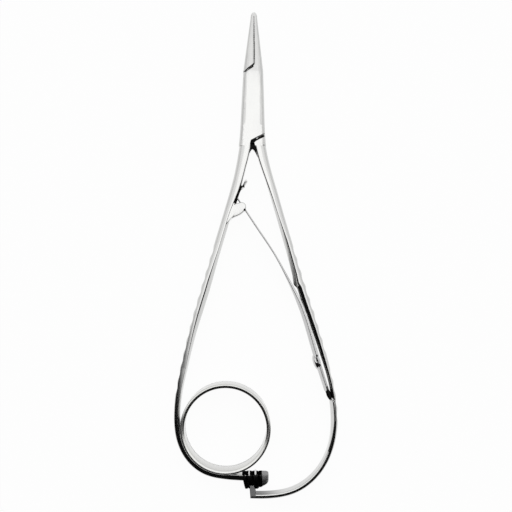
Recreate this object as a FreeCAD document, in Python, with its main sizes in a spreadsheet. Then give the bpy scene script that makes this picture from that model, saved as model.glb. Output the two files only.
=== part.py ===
import FreeCAD, Part
import Sketcher
import math
import os

from FreeCAD import Placement, Rotation, Vector

# Needle holder with finger ring, lying flat: +Y towards the jaw tips, +Z up, in millimetres.
# The origin is at the centre of the outline, on the surface that the ring's rim lies on.

os.makedirs("parts", exist_ok=True)
doc = FreeCAD.newDocument("NeedleHolder")
sheet = doc.addObject("Spreadsheet::Sheet", "Sizes")

SIZES = [
    # Head: the jaws and the box lock, in a frame of their own at the pivot
    ("pivotX", -0.90, "pivot, measured from the origin"),
    ("pivotY", 43.50, "pivot, measured from the origin"),
    ("headTilt", -0.65, "lean of the head about the pivot, degrees"),
    ("tipReach", 26.50, "pivot to the jaw tips"),
    ("shoulderReach", 9.60, "pivot to the corner where the jaws start"),
    ("tipHalf", 0.74, "half the width of the closed jaws at the tip"),
    ("tipThick", 2.00, "thickness of the jaws at the tip"),
    ("shoulderHalf", 2.84, "half the width at the jaws' root"),
    ("pivotHalf", 3.24, "half the width of the box at the pivot"),
    ("lowerHalf", 3.56, "half the width of the box at its lower end"),
    ("lowerReach", 7.70, "pivot to the lower end of the box"),
    ("rootHalf", 4.00, "half the width where the arms leave the head"),
    ("rootReach", 12.60, "pivot to where the arms leave the head"),
    ("rootInset", 0.25, "arm inwards from the head's side where it starts"),
    ("boxThick", 5.00, "thickness of the box"),
    ("cornerShare", 0.58, "corner rounding as a share of the smaller half size"),
    ("jawGap", 0.06, "gap between the closed jaws"),
    ("serrationPitch", 0.60, "spacing of the cross cuts on the jaw faces"),
    ("serrationDepth", 0.16, "depth of the cross cuts"),
    ("serrationEnd", 1.20, "plain length left at each end of the jaw faces"),
    # Box lock: shoulders, slot and tongue
    ("cheekTop", 11.25, "cheek's upper shoulder at the seam"),
    ("cheekTopSlope", 36.50, "slope of the cheek's upper shoulder, degrees"),
    ("jawShoulder", 11.90, "left jaw's shoulder at the seam"),
    ("jawShoulderSlope", 41.00, "slope of the left jaw's shoulder, degrees"),
    ("crotchOut", 0.46, "lower crotch, left of the pivot"),
    ("crotchReach", 10.30, "pivot down to the lower crotch"),
    ("crotchSlope", 14.0, "lean of the inner walls below the crotch, degrees"),
    ("cheekLowSlope", 28.20, "slope of the cheek's lower edge, degrees"),
    ("rootShoulderOut", 0.58, "right root's inner corner, right of the pivot"),
    ("rootShoulderReach", 11.05, "pivot down to the right root's inner corner"),
    ("rootShoulderSlope", 41.00, "slope of the right root's shoulder, degrees"),
    ("slotRise", 6.70, "drop of each slot wall from the seam to the side"),
    ("slotHead", 11.20, "pivot to the slot wall at the seam"),
    ("tongueThick", 1.70, "thickness of the tongue"),
    ("tongueGap", 0.04, "gap on each face of the tongue"),
    ("tongueSideGap", 0.15, "gap between the tongue's edges and the slot walls"),
    ("pinRadius", 1.25, "box pin"),
    ("pinGap", 0.03, "running gap of the pin in the tongue"),
    # Arms: points of each centre line, outwards from the pivot, then thickness in plan and width along Z
    ("neckY", 28.80, "below the box"),
    ("flareY", 21.90, "where the arms start to run straight"),
    ("runTopY", 11.50, "upper end of the straight run"),
    ("runEndY", -16.20, "lower end of the straight run"),
    ("gripY", -32.00, "grip"),
    ("neckOut", 2.85, "both arms at the neck"),
    ("flareOut", 4.55, "both arms at the flare"),
    ("runTopOut", 7.66, "both arms at the top of the run"),
    ("leftRunEndOut", 16.06, "left arm at the end of the run"),
    ("leftGripOut", 20.04, "left arm at the grip"),
    ("leftBellyOut", 21.88, "left arm at its widest"),
    ("leftBellyY", -45.60, "left arm at its widest"),
    ("rightRunEndOut", 16.27, "right arm at the end of the run"),
    ("rightGripOut", 21.21, "right arm at the grip"),
    ("rightBellyOut", 23.43, "right arm at its widest"),
    ("rightBellyY", -47.30, "right arm at its widest"),
    ("lowerCurveX", 3.40, "where the right arm's lower curve becomes straight"),
    ("bottomY", -69.40, "lowest edge of the right arm"),
    ("curvePower", 0.94, "roundness of the lower curve, 1 is an ellipse"),
    ("wrapStart", 200.0, "where the left arm meets the ring, degrees about its centre"),
    ("wrapEnd", 268.0, "where the left arm leaves the ring, degrees about its centre"),
    ("neckThick", 2.90, "arms at the neck"),
    ("runThick", 2.15, "left arm along the run"),
    ("flareThick", 2.40, "arms at the flare"),
    ("rightRunThick", 2.58, "right arm at the end of the run"),
    ("rightGripThick", 1.80, "right arm at the grip, behind the strip"),
    ("rightBellyThick", 2.00, "right arm at its widest"),
    ("bellyThick", 1.40, "left arm at its widest"),
    ("wrapThick", 1.80, "left arm where it meets the ring"),
    ("wrapLowThick", 2.60, "left arm below the ring"),
    ("curveThick", 1.30, "right arm's lower curve"),
    ("neckWidth", 4.90, "arms at the neck"),
    ("gripWidth", 6.00, "arms at the grip"),
    ("wrapWidth", 5.20, "left arm round the ring"),
    ("curveWidth", 4.20, "right arm's lower curve"),
    ("innerBevel", 0.30, "bevel on the arms' inner edges"),
    ("scallopTopY", 0.90, "first grip hollow"),
    ("scallopPitch", 3.88, "spacing of the grip hollows along Y"),
    ("scallopDepth", 0.38, "depth of the grip hollows"),
    ("scallopRadius", 4.40, "radius of the grip hollows"),
    ("leftHollows", 11, "grip hollows of the left arm"),
    ("rightHollows", 13, "grip hollows of the right arm"),
    ("plainHollow", 8, "place in the right arm's row that stays plain, beside the screw"),
    # Finger ring
    ("ringX", -8.65, "centre of the ring"),
    ("ringY", -49.10, "centre of the ring"),
    ("ringRadius", 12.60, "outer radius"),
    ("ringWall", 1.00, "wall"),
    ("ringWidth", 6.50, "width along Z"),
    ("ringEdge", 0.30, "rounding of the ring's rims"),
    ("ringSeat", 0.15, "depth of the saddle that the ring is brazed into"),
    # Rack at the left arm's end and pawl at the right arm's end
    ("rackLeftX", -4.00, "left end"),
    ("rackShear", 0.80, "underside to the right of the upper side at the left end"),
    ("rackFlatX", 0.00, "where the underside starts to rise"),
    ("rackRightX", 3.60, "right end"),
    ("rackTopY", -62.45, "flat upper side"),
    ("rackDepth", 4.50, "depth of the rack at its crests"),
    ("rackEndDepth", 3.00, "depth of the rack at its right end"),
    ("rackHalf", 2.70, "half the rack's size along Z"),
    ("grooveX", -2.90, "first groove"),
    ("groovePitch", 1.80, "tooth spacing"),
    ("grooveDepth", 0.50, "tooth depth"),
    ("grooveCount", 3, "grooves"),
    ("crestShare", 0.45, "crest beside a groove, as a share of the spacing"),
    ("collarX", 1.75, "start of the plain collar at the right end"),
    ("pawlX", -0.80, "middle of the pawl"),
    ("pawlThick", 1.70, "thickness of the pawl at its root"),
    ("pawlTipThick", 0.90, "thickness of the pawl at its tip"),
    ("pawlReach", 4.30, "height of the pawl above the arm's lowest edge"),
    ("pawlLean", 0.45, "lean of the pawl's tip to the left"),
    ("pawlGap", 0.12, "gap between the pawl and the rack's crests"),
    # Leaf spring, its lug and its screw
    ("leafWidth", 5.00, "strip along Z at the screw"),
    ("leafEyeWidth", 3.20, "strip along Z where it crosses"),
    ("leafThick", 0.85, "strip at the screw"),
    ("leafThinThick", 0.50, "strip where it crosses"),
    ("leafGap", 0.03, "gap between the strip and the right arm"),
    ("leafEndY", -41.10, "lower end of the strip"),
    ("leafLiftY", -17.00, "where the strip leaves the right arm"),
    ("leafTailY", -33.00, "below here the strip runs straight, in a recess of the arm"),
    ("leafCurveX", 9.80, "strip's middle on its way from the arm"),
    ("leafCurveY", -8.08, "strip's middle on its way from the arm"),
    ("leafCurveThick", 0.70, "strip there"),
    ("leafCrossX", 5.30, "strip's middle where its straight crossing starts"),
    ("leafCrossY", 0.60, "strip's middle where its straight crossing starts"),
    ("recessGap", 0.25, "gap round the strip's lower end"),
    ("eyeX", -3.90, "middle of the lug's window"),
    ("eyeY", 14.50, "middle of the lug's window"),
    ("hookRun", 2.70, "window to the hook's bend"),
    ("hookLength", 5.60, "length of the hook"),
    ("hookAngle", 62.00, "direction of the hook, degrees above +X"),
    ("hookRoll", 0.46, "radius of the rolled end"),
    ("eyeGap", 0.12, "gap round the strip in the window"),
    ("lugRound", 0.90, "rounding of the lug's outline"),
    ("lugNoseIn", 0.18, "centre of the lug's nose, left of the strip's middle"),
    ("lugTopDrop", 0.50, "window's middle down to the top of the lug's base"),
    ("lugBaseDrop", 2.70, "window's middle down to the bottom of the lug's base"),
    ("lugHeelX", 0.80, "lug's heel, left of the window's middle"),
    ("lugHeelDrop", 1.55, "window's middle down to the lug's heel"),
    ("lugWidth", 4.60, "width of the lug along Z"),
    ("screwY", -29.40, "screw"),
    ("screwHeadRadius", 2.10, "screw head"),
    ("screwHeadHeight", 0.75, "screw head"),
    ("screwEdge", 0.25, "bevel of the screw head"),
    ("screwShankRadius", 0.80, "screw shank"),
    ("screwBite", 1.20, "length of the shank in the arm"),
    ("screwSlot", 0.50, "width of the screw's slot"),
    ("screwSlotDepth", 0.35, "depth of the screw's slot"),
]

FULL_TURN = 360.0
SIDE = 8.0           # half size of the cutting prisms across the head
TOP = 40.0           # their reach above and below the pivot
STATION_STEP = 3.5   # spacing of the sections along an arm
CURVE_POINTS = 4     # points round a curve of an arm
STRIP_POINTS = 6     # points of the strip along the arm
HALVINGS = 50        # steps of the search along a line
DIAMOND_SHARE = 0.45  # half length of a cross cut as a share of the spacing
BOW_DROP = 0.6       # middle points of the rack's round underside, as shares
BOW_SIDE = 0.8


def fillSheet():
    for row, (alias, value, note) in enumerate(SIZES, start=1):
        sheet.set("A%d" % row, note)
        sheet.set("B%d" % row, "%.6g" % value)
        sheet.setAlias("B%d" % row, alias)
    doc.recompute()


def size(alias):
    return float(sheet.get(alias))


def feature(name, shape, placement=None):
    """A Part::Feature that holds a shape made from the sheet's values."""
    made = doc.addObject("Part::Feature", name)
    made.Shape = shape
    if placement is not None:
        made.Placement = placement
    return made


def boolean(kind, name, base, tool):
    made = doc.addObject("Part::" + kind, name)
    made.Base = base
    made.Tool = tool
    return made


def upright(name, radius, half, x, y):
    """An upright cylinder about the middle plane, bound to the sheet."""
    made = doc.addObject("Part::Cylinder", name)
    made.setExpression("Radius", radius)
    made.setExpression("Height", "2 * (%s)" % half)
    made.setExpression("Placement.Base.x", x)
    made.setExpression("Placement.Base.y", y)
    made.setExpression("Placement.Base.z", "Sizes.ringWidth / 2 - (%s)" % half)
    return made


def fused(name, members):
    """Members joined one after the other."""
    made = members[0]
    for index, member in enumerate(members[1:], start=1):
        made = boolean("Fuse", "%s%d" % (name, index), made, member)
    return made


def named(made, label):
    made.Label = label
    return made


def prism(points, low, high):
    """An upright prism between two heights from the corners of its plan."""
    corners = [Vector(x, y, low) for x, y in points]
    face = Part.Face(Part.makePolygon(corners + corners[:1]))
    return face.extrude(Vector(0, 0, high - low))


def between(value, low, high, first, last):
    share = (value - low) / (high - low)
    return first + (last - first) * min(1.0, max(0.0, share))


def direction(degrees):
    return Vector(math.cos(math.radians(degrees)), math.sin(math.radians(degrees)), 0)


def slope(degrees, run):
    return run * math.tan(math.radians(degrees))


# Head envelope: both halves of the head are ground to one outline

def roundedSection(reach, half, thick):
    """A rounded rectangle across the head at a distance from the pivot."""
    tall = thick / 2
    corner = size("cornerShare") * min(half, tall)
    across = half - corner
    up = tall - corner
    bow = corner * math.sqrt(0.5)
    edges = []
    for right, upper in ((1, 1), (-1, 1), (-1, -1), (1, -1)):
        side = Vector(right * half, reach, upper * up)
        crown = Vector(right * across, reach, upper * tall)
        middle = Vector(right * (across + bow), reach, upper * (up + bow))
        first, last = (side, crown) if right * upper > 0 else (crown, side)
        edges.append(Part.Arc(first, middle, last).toShape())
    corners = []
    for index, edge in enumerate(edges):
        following = edges[(index + 1) % len(edges)]
        corners.append(edge)
        corners.append(Part.makeLine(edge.Vertexes[-1].Point, following.Vertexes[0].Point))
    return Part.Wire(corners)


def headEnvelope():
    shoulder = size("shoulderReach")
    boxThick = size("boxThick")
    jaws = Part.makeLoft([
        roundedSection(shoulder, size("shoulderHalf"), boxThick),
        roundedSection(size("tipReach"), size("tipHalf"), size("tipThick")),
    ], True, True)
    box = Part.makeLoft([
        roundedSection(shoulder, size("shoulderHalf"), boxThick),
        roundedSection(shoulder / 2, (size("shoulderHalf") + size("pivotHalf")) / 2, boxThick),
        roundedSection(0, size("pivotHalf"), boxThick),
        roundedSection(-size("lowerReach"), size("lowerHalf"), boxThick),
        roundedSection(-size("rootReach"), size("rootHalf"), boxThick),
    ], True, False)
    return jaws.fuse(box).common(tipCap())


def tipCap():
    """A plan outline whose upper end is round, so that the jaw tips are."""
    radius = size("tipHalf")
    centre = size("tipReach") - radius
    right = Vector(radius, centre, -TOP)
    left = Vector(-radius, centre, -TOP)
    outline = [
        Part.Arc(right, Vector(0, centre + radius, -TOP), left).toShape(),
        Part.makePolygon([left, Vector(-SIDE, centre, -TOP), Vector(-SIDE, -TOP, -TOP),
                          Vector(SIDE, -TOP, -TOP), Vector(SIDE, centre, -TOP), right]),
    ]
    return Part.Face(Part.Wire(outline)).extrude(Vector(0, 0, 2 * TOP))


# Plan regions of the two halves, in the head's frame

def slotWall():
    """The slot's upper wall, from the seam down to the right side. The lower wall mirrors it."""
    start = Vector(size("jawGap"), size("slotHead"), 0)
    end = Vector(size("shoulderHalf"), size("slotHead") - size("slotRise"), 0)
    run = (end - start).normalize()
    return start, end + run * SIDE


def lowerSlotWall():
    start, end = slotWall()
    crotch = Vector(-size("crotchOut"), -size("crotchReach") - size("jawGap"), 0)
    return crotch, crotch + (start - end)


def moved(wall, gap):
    """A wall's line moved into the slot by a gap."""
    start, end = wall
    run = (end - start).normalize()
    aside = Vector(run.y, -run.x, 0) * gap
    return start + aside, end + aside


def femaleRegion():
    seam = size("jawGap") / 2
    crotch = (-size("crotchOut"), -size("crotchReach"))
    lean = slope(size("crotchSlope"), size("rootReach") - size("crotchReach"))
    root = (crotch[0] - lean, -size("rootReach"))
    return prism([
        (seam, TOP),
        (SIDE, TOP),
        (SIDE, crotch[1] + slope(size("cheekLowSlope"), SIDE - crotch[0])),
        crotch,
        root,
        (root[0], -TOP),
        (-SIDE, -TOP),
        (-SIDE, size("cheekTop") - slope(size("cheekTopSlope"), SIDE)),
        (seam, size("cheekTop")),
    ], -SIDE, SIDE)


def slotSpace():
    high, highEnd = slotWall()
    low, lowEnd = lowerSlotWall()
    half = size("tongueThick") / 2 + size("tongueGap")
    return prism([
        (-SIDE, TOP),
        (high.x, TOP),
        (high.x, high.y),
        (highEnd.x, highEnd.y),
        (SIDE * 2, -TOP),
        (low.x, -TOP),
        (low.x, low.y),
        (lowEnd.x, lowEnd.y),
    ], -half, half)


def jawRegion():
    seam = -size("jawGap") / 2
    return prism([
        (seam, TOP),
        (-SIDE, TOP),
        (-SIDE, size("jawShoulder") - slope(size("jawShoulderSlope"), SIDE)),
        (seam, size("jawShoulder")),
    ], -SIDE, SIDE)


def rightRootRegion():
    corner = (size("rootShoulderOut"), -size("rootShoulderReach"))
    lean = slope(size("crotchSlope"), size("rootReach") - size("rootShoulderReach"))
    root = (corner[0] + lean, -size("rootReach"))
    return prism([
        corner,
        (SIDE, corner[1] + slope(size("rootShoulderSlope"), SIDE - corner[0])),
        (SIDE, -TOP),
        (root[0], -TOP),
        root,
    ], -SIDE, SIDE)


def tongueRegion():
    gap = size("tongueSideGap")
    high, highEnd = moved(slotWall(), gap)
    low, lowEnd = moved(lowerSlotWall(), gap)
    seam = -size("jawGap") / 2
    half = size("tongueThick") / 2
    corner = Vector(size("rootShoulderOut"), -size("rootShoulderReach"), 0)
    lap = 2 * gap + half
    return prism([
        (-SIDE, size("jawShoulder") + lap - slope(size("jawShoulderSlope"), SIDE)),
        (seam, size("jawShoulder") + lap),
        (seam, high.y),
        (highEnd.x, highEnd.y),
        (SIDE * 2, corner.y),
        (corner.x + lap, corner.y - lap / 2),
        (low.x, low.y),
        (lowEnd.x, lowEnd.y),
    ], -half, half)


def jawSerrations():
    """Diamond bars on the seam plane, which leave a V cut in each jaw face."""
    pitch = size("serrationPitch")
    deep = size("serrationDepth") + size("jawGap") / 2
    first = size("jawShoulder") + size("serrationEnd")
    last = size("tipReach") - size("serrationEnd")
    bars = []
    for index in range(int((last - first) / pitch) + 1):
        reach = first + index * pitch
        ends = pitch * DIAMOND_SHARE
        bars.append(prism([(deep, reach), (0, reach + ends), (-deep, reach), (0, reach - ends)], -SIDE, SIDE))
    return Part.makeCompound(bars)


# Arms: a centre line, and sections set across it

class ArmLine:
    """A smooth centre line through named points, each with a thickness and a width."""

    def __init__(self, points, outward):
        self.points = [Vector(x, y, 0) for x, y, thick, width in points]
        self.sizes = [(thick, width) for x, y, thick, width in points]
        self.outward = outward
        self.marks = [0.0]
        for first, last in zip(self.points, self.points[1:]):
            self.marks.append(self.marks[-1] + (last - first).Length)
        self.curve = Part.BSplineCurve()
        self.curve.interpolate(Points=self.points, Parameters=self.marks)

    def sizeAt(self, mark):
        for index in range(len(self.marks) - 1):
            if mark <= self.marks[index + 1]:
                break
        low, high = self.marks[index], self.marks[index + 1]
        thick = between(mark, low, high, self.sizes[index][0], self.sizes[index + 1][0])
        width = between(mark, low, high, self.sizes[index][1], self.sizes[index + 1][1])
        return thick, width

    def frameAt(self, mark):
        """Centre point and outward direction."""
        run = Vector(*self.curve.tangent(mark)[0]).normalize()
        return self.curve.value(mark), Vector(run.y, -run.x, 0) * self.outward

    def markAtY(self, y):
        low, high = self.marks[0], self.marks[-1]
        for _ in range(HALVINGS):
            middle = (low + high) / 2
            if self.curve.value(middle).y > y:
                low = middle
            else:
                high = middle
        return (low + high) / 2


def armSection(line, mark):
    """Flat inner face with bevelled edges, flat lands, and a crowned outer face."""
    centre, out = line.frameAt(mark)
    thick, width = line.sizeAt(mark)
    bevel = size("innerBevel")
    top = width / 2
    inner = -thick / 2

    def at(across, up):
        return centre + out * across + Vector(0, 0, up)

    corners = [
        at(0, -top), at(inner + bevel, -top), at(inner, bevel - top),
        at(inner, top - bevel), at(inner + bevel, top), at(0, top),
    ]
    crown = Part.Arc(corners[-1], at(thick / 2, 0), corners[0]).toShape()
    return Part.Wire([Part.makeLine(a, b) for a, b in zip(corners, corners[1:])] + [crown])


def armBlank(line):
    length = line.marks[-1]
    count = int(length / STATION_STEP)
    return Part.makeLoft([armSection(line, length * k / count) for k in range(count + 1)], True, False)


def neckPoints(side, runTopThick):
    """The upper points, which both arms share. The first two lean with the head."""
    pivotX = size("pivotX")
    thick = size("neckThick")
    width = size("neckWidth")
    rootY = size("pivotY") - size("rootReach") + thick
    rootOut = size("rootHalf") - size("rootInset") - thick / 2

    def leaning(out, y):
        return pivotX + side * out + (size("pivotY") - y) * math.sin(math.radians(size("headTilt")))

    return [
        (leaning(rootOut, rootY), rootY, thick, width),
        (leaning(size("neckOut"), size("neckY")), size("neckY"), thick, width),
        (pivotX + side * size("flareOut"), size("flareY"), size("flareThick"), width),
        (pivotX + side * size("runTopOut"), size("runTopY"), runTopThick, width),
    ]


def leftArmLine():
    pivotX = size("pivotX")
    run = size("runThick")
    width = size("gripWidth")
    centre = Vector(size("ringX"), size("ringY"), 0)
    points = neckPoints(-1, run) + [
        (pivotX - size("leftRunEndOut"), size("runEndY"), run, width),
        (pivotX - size("leftGripOut"), size("gripY"), run, width),
        (pivotX - size("leftBellyOut"), size("leftBellyY"), size("bellyThick"), width),
    ]
    first, last = size("wrapStart"), size("wrapEnd")
    for index in range(CURVE_POINTS):
        degrees = first + (last - first) * index / (CURVE_POINTS - 1)
        thick = between(degrees, first, last, size("wrapThick"), size("wrapLowThick"))
        place = centre + direction(degrees) * (size("ringRadius") - size("ringSeat") + thick / 2)
        points.append((place.x, place.y, thick, size("wrapWidth")))
    points.append((size("grooveX"), size("rackTopY") - thick / 2, thick, size("wrapWidth")))
    return ArmLine(points, 1)


def rightArmLine():
    pivotX = size("pivotX")
    thick = size("curveThick")
    width = size("gripWidth")
    curveX = size("lowerCurveX")
    bellyX = pivotX + size("rightBellyOut")
    bellyY = size("rightBellyY")
    middleY = size("bottomY") + thick / 2
    points = neckPoints(1, (size("flareThick") + size("runThick")) / 2) + [
        (pivotX + size("rightRunEndOut"), size("runEndY"), size("rightRunThick"), width),
        (pivotX + size("rightGripOut"), size("gripY"), size("rightGripThick"), width),
        (bellyX, bellyY, size("rightBellyThick"), width),
    ]
    for index in range(1, CURVE_POINTS + 1):
        turn = direction(FULL_TURN / 4 * index / CURVE_POINTS)
        across = max(turn.x, 0.0) ** size("curvePower")
        down = turn.y ** size("curvePower")
        points.append((curveX + (bellyX - curveX) * across, bellyY + (middleY - bellyY) * down,
                       thick, size("curveWidth")))
    points.append((size("pawlX"), middleY, thick, size("curveWidth")))
    return ArmLine(points, -1)


def scallops(line, count, plain=None):
    """Round bars that cut the grip hollows into the arm's outer face."""
    bars = []
    for index in range(round(count)):
        if plain is not None and index == round(plain):
            continue
        mark = line.markAtY(size("scallopTopY") - index * size("scallopPitch"))
        centre, out = line.frameAt(mark)
        thick, width = line.sizeAt(mark)
        middle = centre + out * (thick / 2 + size("scallopRadius") - size("scallopDepth"))
        bars.append(Part.makeCylinder(size("scallopRadius"), 2 * width, middle - Vector(0, 0, width)))
    return Part.makeCompound(bars)


# Rack and pawl

def rackSection(x, depth, half, shear=0.0):
    """A flat upper side and a round underside, which may lie to the right of the upper side."""
    top = size("rackTopY")

    def at(drop, up):
        return Vector(x + shear * drop, top - depth * drop, half * up)

    corners = [at(0, -1), at(0, 1)]
    bow = Part.BSplineCurve()
    bow.interpolate([corners[1], at(BOW_DROP, BOW_SIDE), at(1, 0), at(BOW_DROP, -BOW_SIDE), corners[0]])
    return Part.Wire([Part.makeLine(corners[0], corners[1]), bow.toShape()])


def rack():
    """Crests and grooves in turn, joined by straight faces, then a plain collar with a rounded end."""
    half = size("rackHalf")
    pitch = size("groovePitch")
    deep = size("grooveDepth")
    left = size("rackLeftX")
    end = size("rackRightX")
    crest = pitch * size("crestShare")

    def section(x, less):
        depth = between(x, size("rackFlatX"), end, size("rackDepth"), size("rackEndDepth"))
        return rackSection(x, depth - less, half - less, between(x, left, end, size("rackShear"), 0.0))

    sections = [section(left, deep / 2)]
    for index in range(round(size("grooveCount"))):
        root = size("grooveX") + index * pitch
        sections += [section(root - crest, 0), section(root, deep), section(root + crest, 0)]
    sections += [section(size("collarX"), deep / 2), section(end - deep, deep / 2), section(end, deep)]
    return Part.makeLoft(sections, True, True)


def pawl():
    """A post whose end is hollowed to clear the rack's crests."""
    x = size("pawlX")
    low = size("bottomY")
    high = low + size("pawlReach")
    root = size("pawlThick") / 2
    tip = size("pawlTipThick") / 2
    lean = size("pawlLean")
    width = size("curveWidth") / 2
    post = prism([
        (x - root + lean / 2, low),
        (x - tip - lean, high - tip / 2),
        (x + tip - lean, high),
        (x + root, low + size("pawlReach") / 2),
        (x + root, low),
    ], -width, width)
    gap = size("pawlGap")
    space = rackSection(x - SIDE, size("rackDepth") + gap, size("rackHalf") + gap)
    return post.cut(Part.Face(space).extrude(Vector(2 * SIDE, 0, 0)))


# Leaf spring, its recess and its lug

def innerFace(line, mark):
    """A point on the arm's inner face and the inward direction."""
    centre, out = line.frameAt(mark)
    return centre - out * (line.sizeAt(mark)[0] / 2), out * -1


def tail(rightLine):
    """The strip's straight lower part on the arm's side: its upper end, its lower end, inward direction."""
    start, inward = innerFace(rightLine, rightLine.markAtY(size("leafTailY")))
    run = Vector(inward.y, -inward.x, 0)
    if run.y > 0:
        run = run * -1
    return start, start + run * ((size("leafEndY") - start.y) / run.y), inward


def leafLine(rightLine):
    """Points of the strip's middle with its thickness: tail, along the right arm, then free to the hook."""
    thick = size("leafThick")
    thin = size("leafThinThick")
    away = size("leafGap") + thick / 2
    start, end, inward = tail(rightLine)
    points = [(end + inward * away, thick), ((start + end) / 2 + inward * away, thick)]
    low = rightLine.markAtY(size("leafTailY"))
    high = rightLine.markAtY(size("leafLiftY"))
    for index in range(STRIP_POINTS):
        place, inward = innerFace(rightLine, low + (high - low) * index / (STRIP_POINTS - 1))
        points.append((place + inward * away, thick))
    points.append((Vector(size("leafCurveX"), size("leafCurveY"), 0), size("leafCurveThick")))
    crossing = Vector(size("leafCrossX"), size("leafCrossY"), 0)
    eye = Vector(size("eyeX"), size("eyeY"), 0)
    run = (eye - crossing).normalize()
    bend = eye + run * size("hookRun")
    points += [(crossing, thin), ((crossing + eye) / 2, thin), (eye, thin), (bend, thin)]
    return points, run, bend


def strip(points, low, high):
    """A strip standing on edge: its two long sides are smooth curves beside the middle points."""
    sides = ([], [])
    for index, (place, thick) in enumerate(points):
        before = points[max(index - 1, 0)][0]
        after = points[min(index + 1, len(points) - 1)][0]
        run = (after - before).normalize()
        aside = Vector(-run.y, run.x, 0) * (thick / 2)
        sides[0].append(place + aside + Vector(0, 0, low))
        sides[1].append(place - aside + Vector(0, 0, low))
    curves = []
    for side in sides:
        curve = Part.BSplineCurve()
        curve.interpolate(side)
        curves.append(curve.toShape())
    ends = [Part.makeLine(sides[0][0], sides[1][0]), Part.makeLine(sides[0][-1], sides[1][-1])]
    outline = Part.Wire(Part.__sortEdges__(curves + ends))
    return Part.Face(outline).extrude(Vector(0, 0, high - low))


def leafTaper():
    """A plate seen from the side: wide at the screw, narrow from the crossing on."""
    wide = size("leafWidth") / 2
    narrow = size("leafEyeWidth") / 2
    outline = [(-TOP * 2, wide), (size("screwY"), wide), (size("leafCrossY"), narrow), (TOP * 2, narrow)]
    corners = [Vector(-TOP, y, up) for y, up in outline]
    corners += [Vector(-TOP, y, -up) for y, up in reversed(outline)]
    return Part.Face(Part.makePolygon(corners + corners[:1])).extrude(Vector(TOP * 2, 0, 0))


def leaf(rightLine):
    points, run, bend = leafLine(rightLine)
    thin = size("leafThinThick")
    tall = size("leafWidth") / 2
    hookEnd = bend + direction(size("hookAngle")) * size("hookLength")
    roll = Part.makeCylinder(size("hookRoll"), 2 * tall, hookEnd - Vector(0, 0, tall))
    corner = Part.makeCylinder(thin / 2, 2 * tall, bend - Vector(0, 0, tall))
    hook = strip([(bend, thin), (hookEnd, thin)], -tall, tall)
    return strip(points, -tall, tall).multiFuse([corner, hook, roll]).common(leafTaper())


def leafRecess(rightLine):
    """The space that the strip's lower end needs in the arm's inner side."""
    start, end, inward = tail(rightLine)
    run = (end - start).normalize()
    deep = inward * -size("leafGap")
    far = inward * (2 * size("leafThick"))
    end = end + run * size("recessGap")
    corners = [start + deep, end + deep, end + far, start + far]
    return prism([(place.x, place.y) for place in corners], -SIDE, SIDE)


def lug(leftLine, rightLine):
    """A rounded nose on the left arm's inner side with a window for the strip."""
    points, run, bend = leafLine(rightLine)
    eye = Vector(size("eyeX"), size("eyeY"), 0)
    aside = Vector(run.y, -run.x, 0)
    nose = eye - aside * size("lugNoseIn")
    heel = eye - Vector(size("lugHeelX"), size("lugHeelDrop"), 0)
    top = innerFace(leftLine, leftLine.markAtY(size("eyeY") - size("lugTopDrop")))[0]
    base = innerFace(leftLine, leftLine.markAtY(size("eyeY") - size("lugBaseDrop")))[0]
    tall = size("lugWidth")
    outline = Part.makePolygon([top, nose, heel, base, top]).makeOffset2D(size("lugRound"))
    outline.translate(Vector(0, 0, -tall / 2))
    body = Part.Face(outline).extrude(Vector(0, 0, tall))
    half = aside * (size("leafThinThick") / 2 + size("eyeGap"))
    reach = run * (2 * size("lugRound"))
    up = size("leafEyeWidth") / 2 + size("eyeGap")
    corners = [eye + reach + half, eye + reach - half, eye - reach - half, eye - reach + half]
    return body, prism([(corner.x, corner.y) for corner in corners], -up, up)


# Bodies with sketches

def originPlane(body, role):
    for item in body.Origin.OriginFeatures:
        if item.Role == role:
            return item
    raise RuntimeError("no plane " + role)


def outlineSketch(body, name, role, corners):
    """A closed outline whose corners are bound to the sheet. A corner part of None lies on the axis."""
    sketch = body.newObject("Sketcher::SketchObject", name)
    sketch.AttachmentSupport = [(originPlane(body, role), "")]
    sketch.MapMode = "FlatFace"
    doc.recompute()
    values = []
    for across, up in corners:
        values.append([0.0 if part is None else float(sheet.evalExpression(part)) for part in (across, up)])
    count = len(corners)
    for index in range(count):
        first = Vector(*values[index], 0)
        last = Vector(*values[(index + 1) % count], 0)
        sketch.addGeometry(Part.LineSegment(first, last), False)
    for index in range(count):
        sketch.addConstraint(Sketcher.Constraint("Coincident", index, 2, (index + 1) % count, 1))
    for index, (across, up) in enumerate(corners):
        for kind, part, value, axis in (("DistanceX", across, values[index][0], -2),
                                        ("DistanceY", up, values[index][1], -1)):
            if part is None:
                sketch.addConstraint(Sketcher.Constraint("PointOnObject", index, 1, axis))
            else:
                row = sketch.addConstraint(Sketcher.Constraint(kind, -1, 1, index, 1, value))
                sketch.setExpression("Constraints[%d]" % row, part)
    doc.recompute()
    return sketch


def revolved(body, sketch):
    turn = body.newObject("PartDesign::Revolution", sketch.Name + "Turn")
    turn.Profile = sketch
    turn.ReferenceAxis = (sketch, ["V_Axis"])
    turn.Angle = FULL_TURN
    sketch.Visibility = False
    doc.recompute()
    return turn


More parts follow.
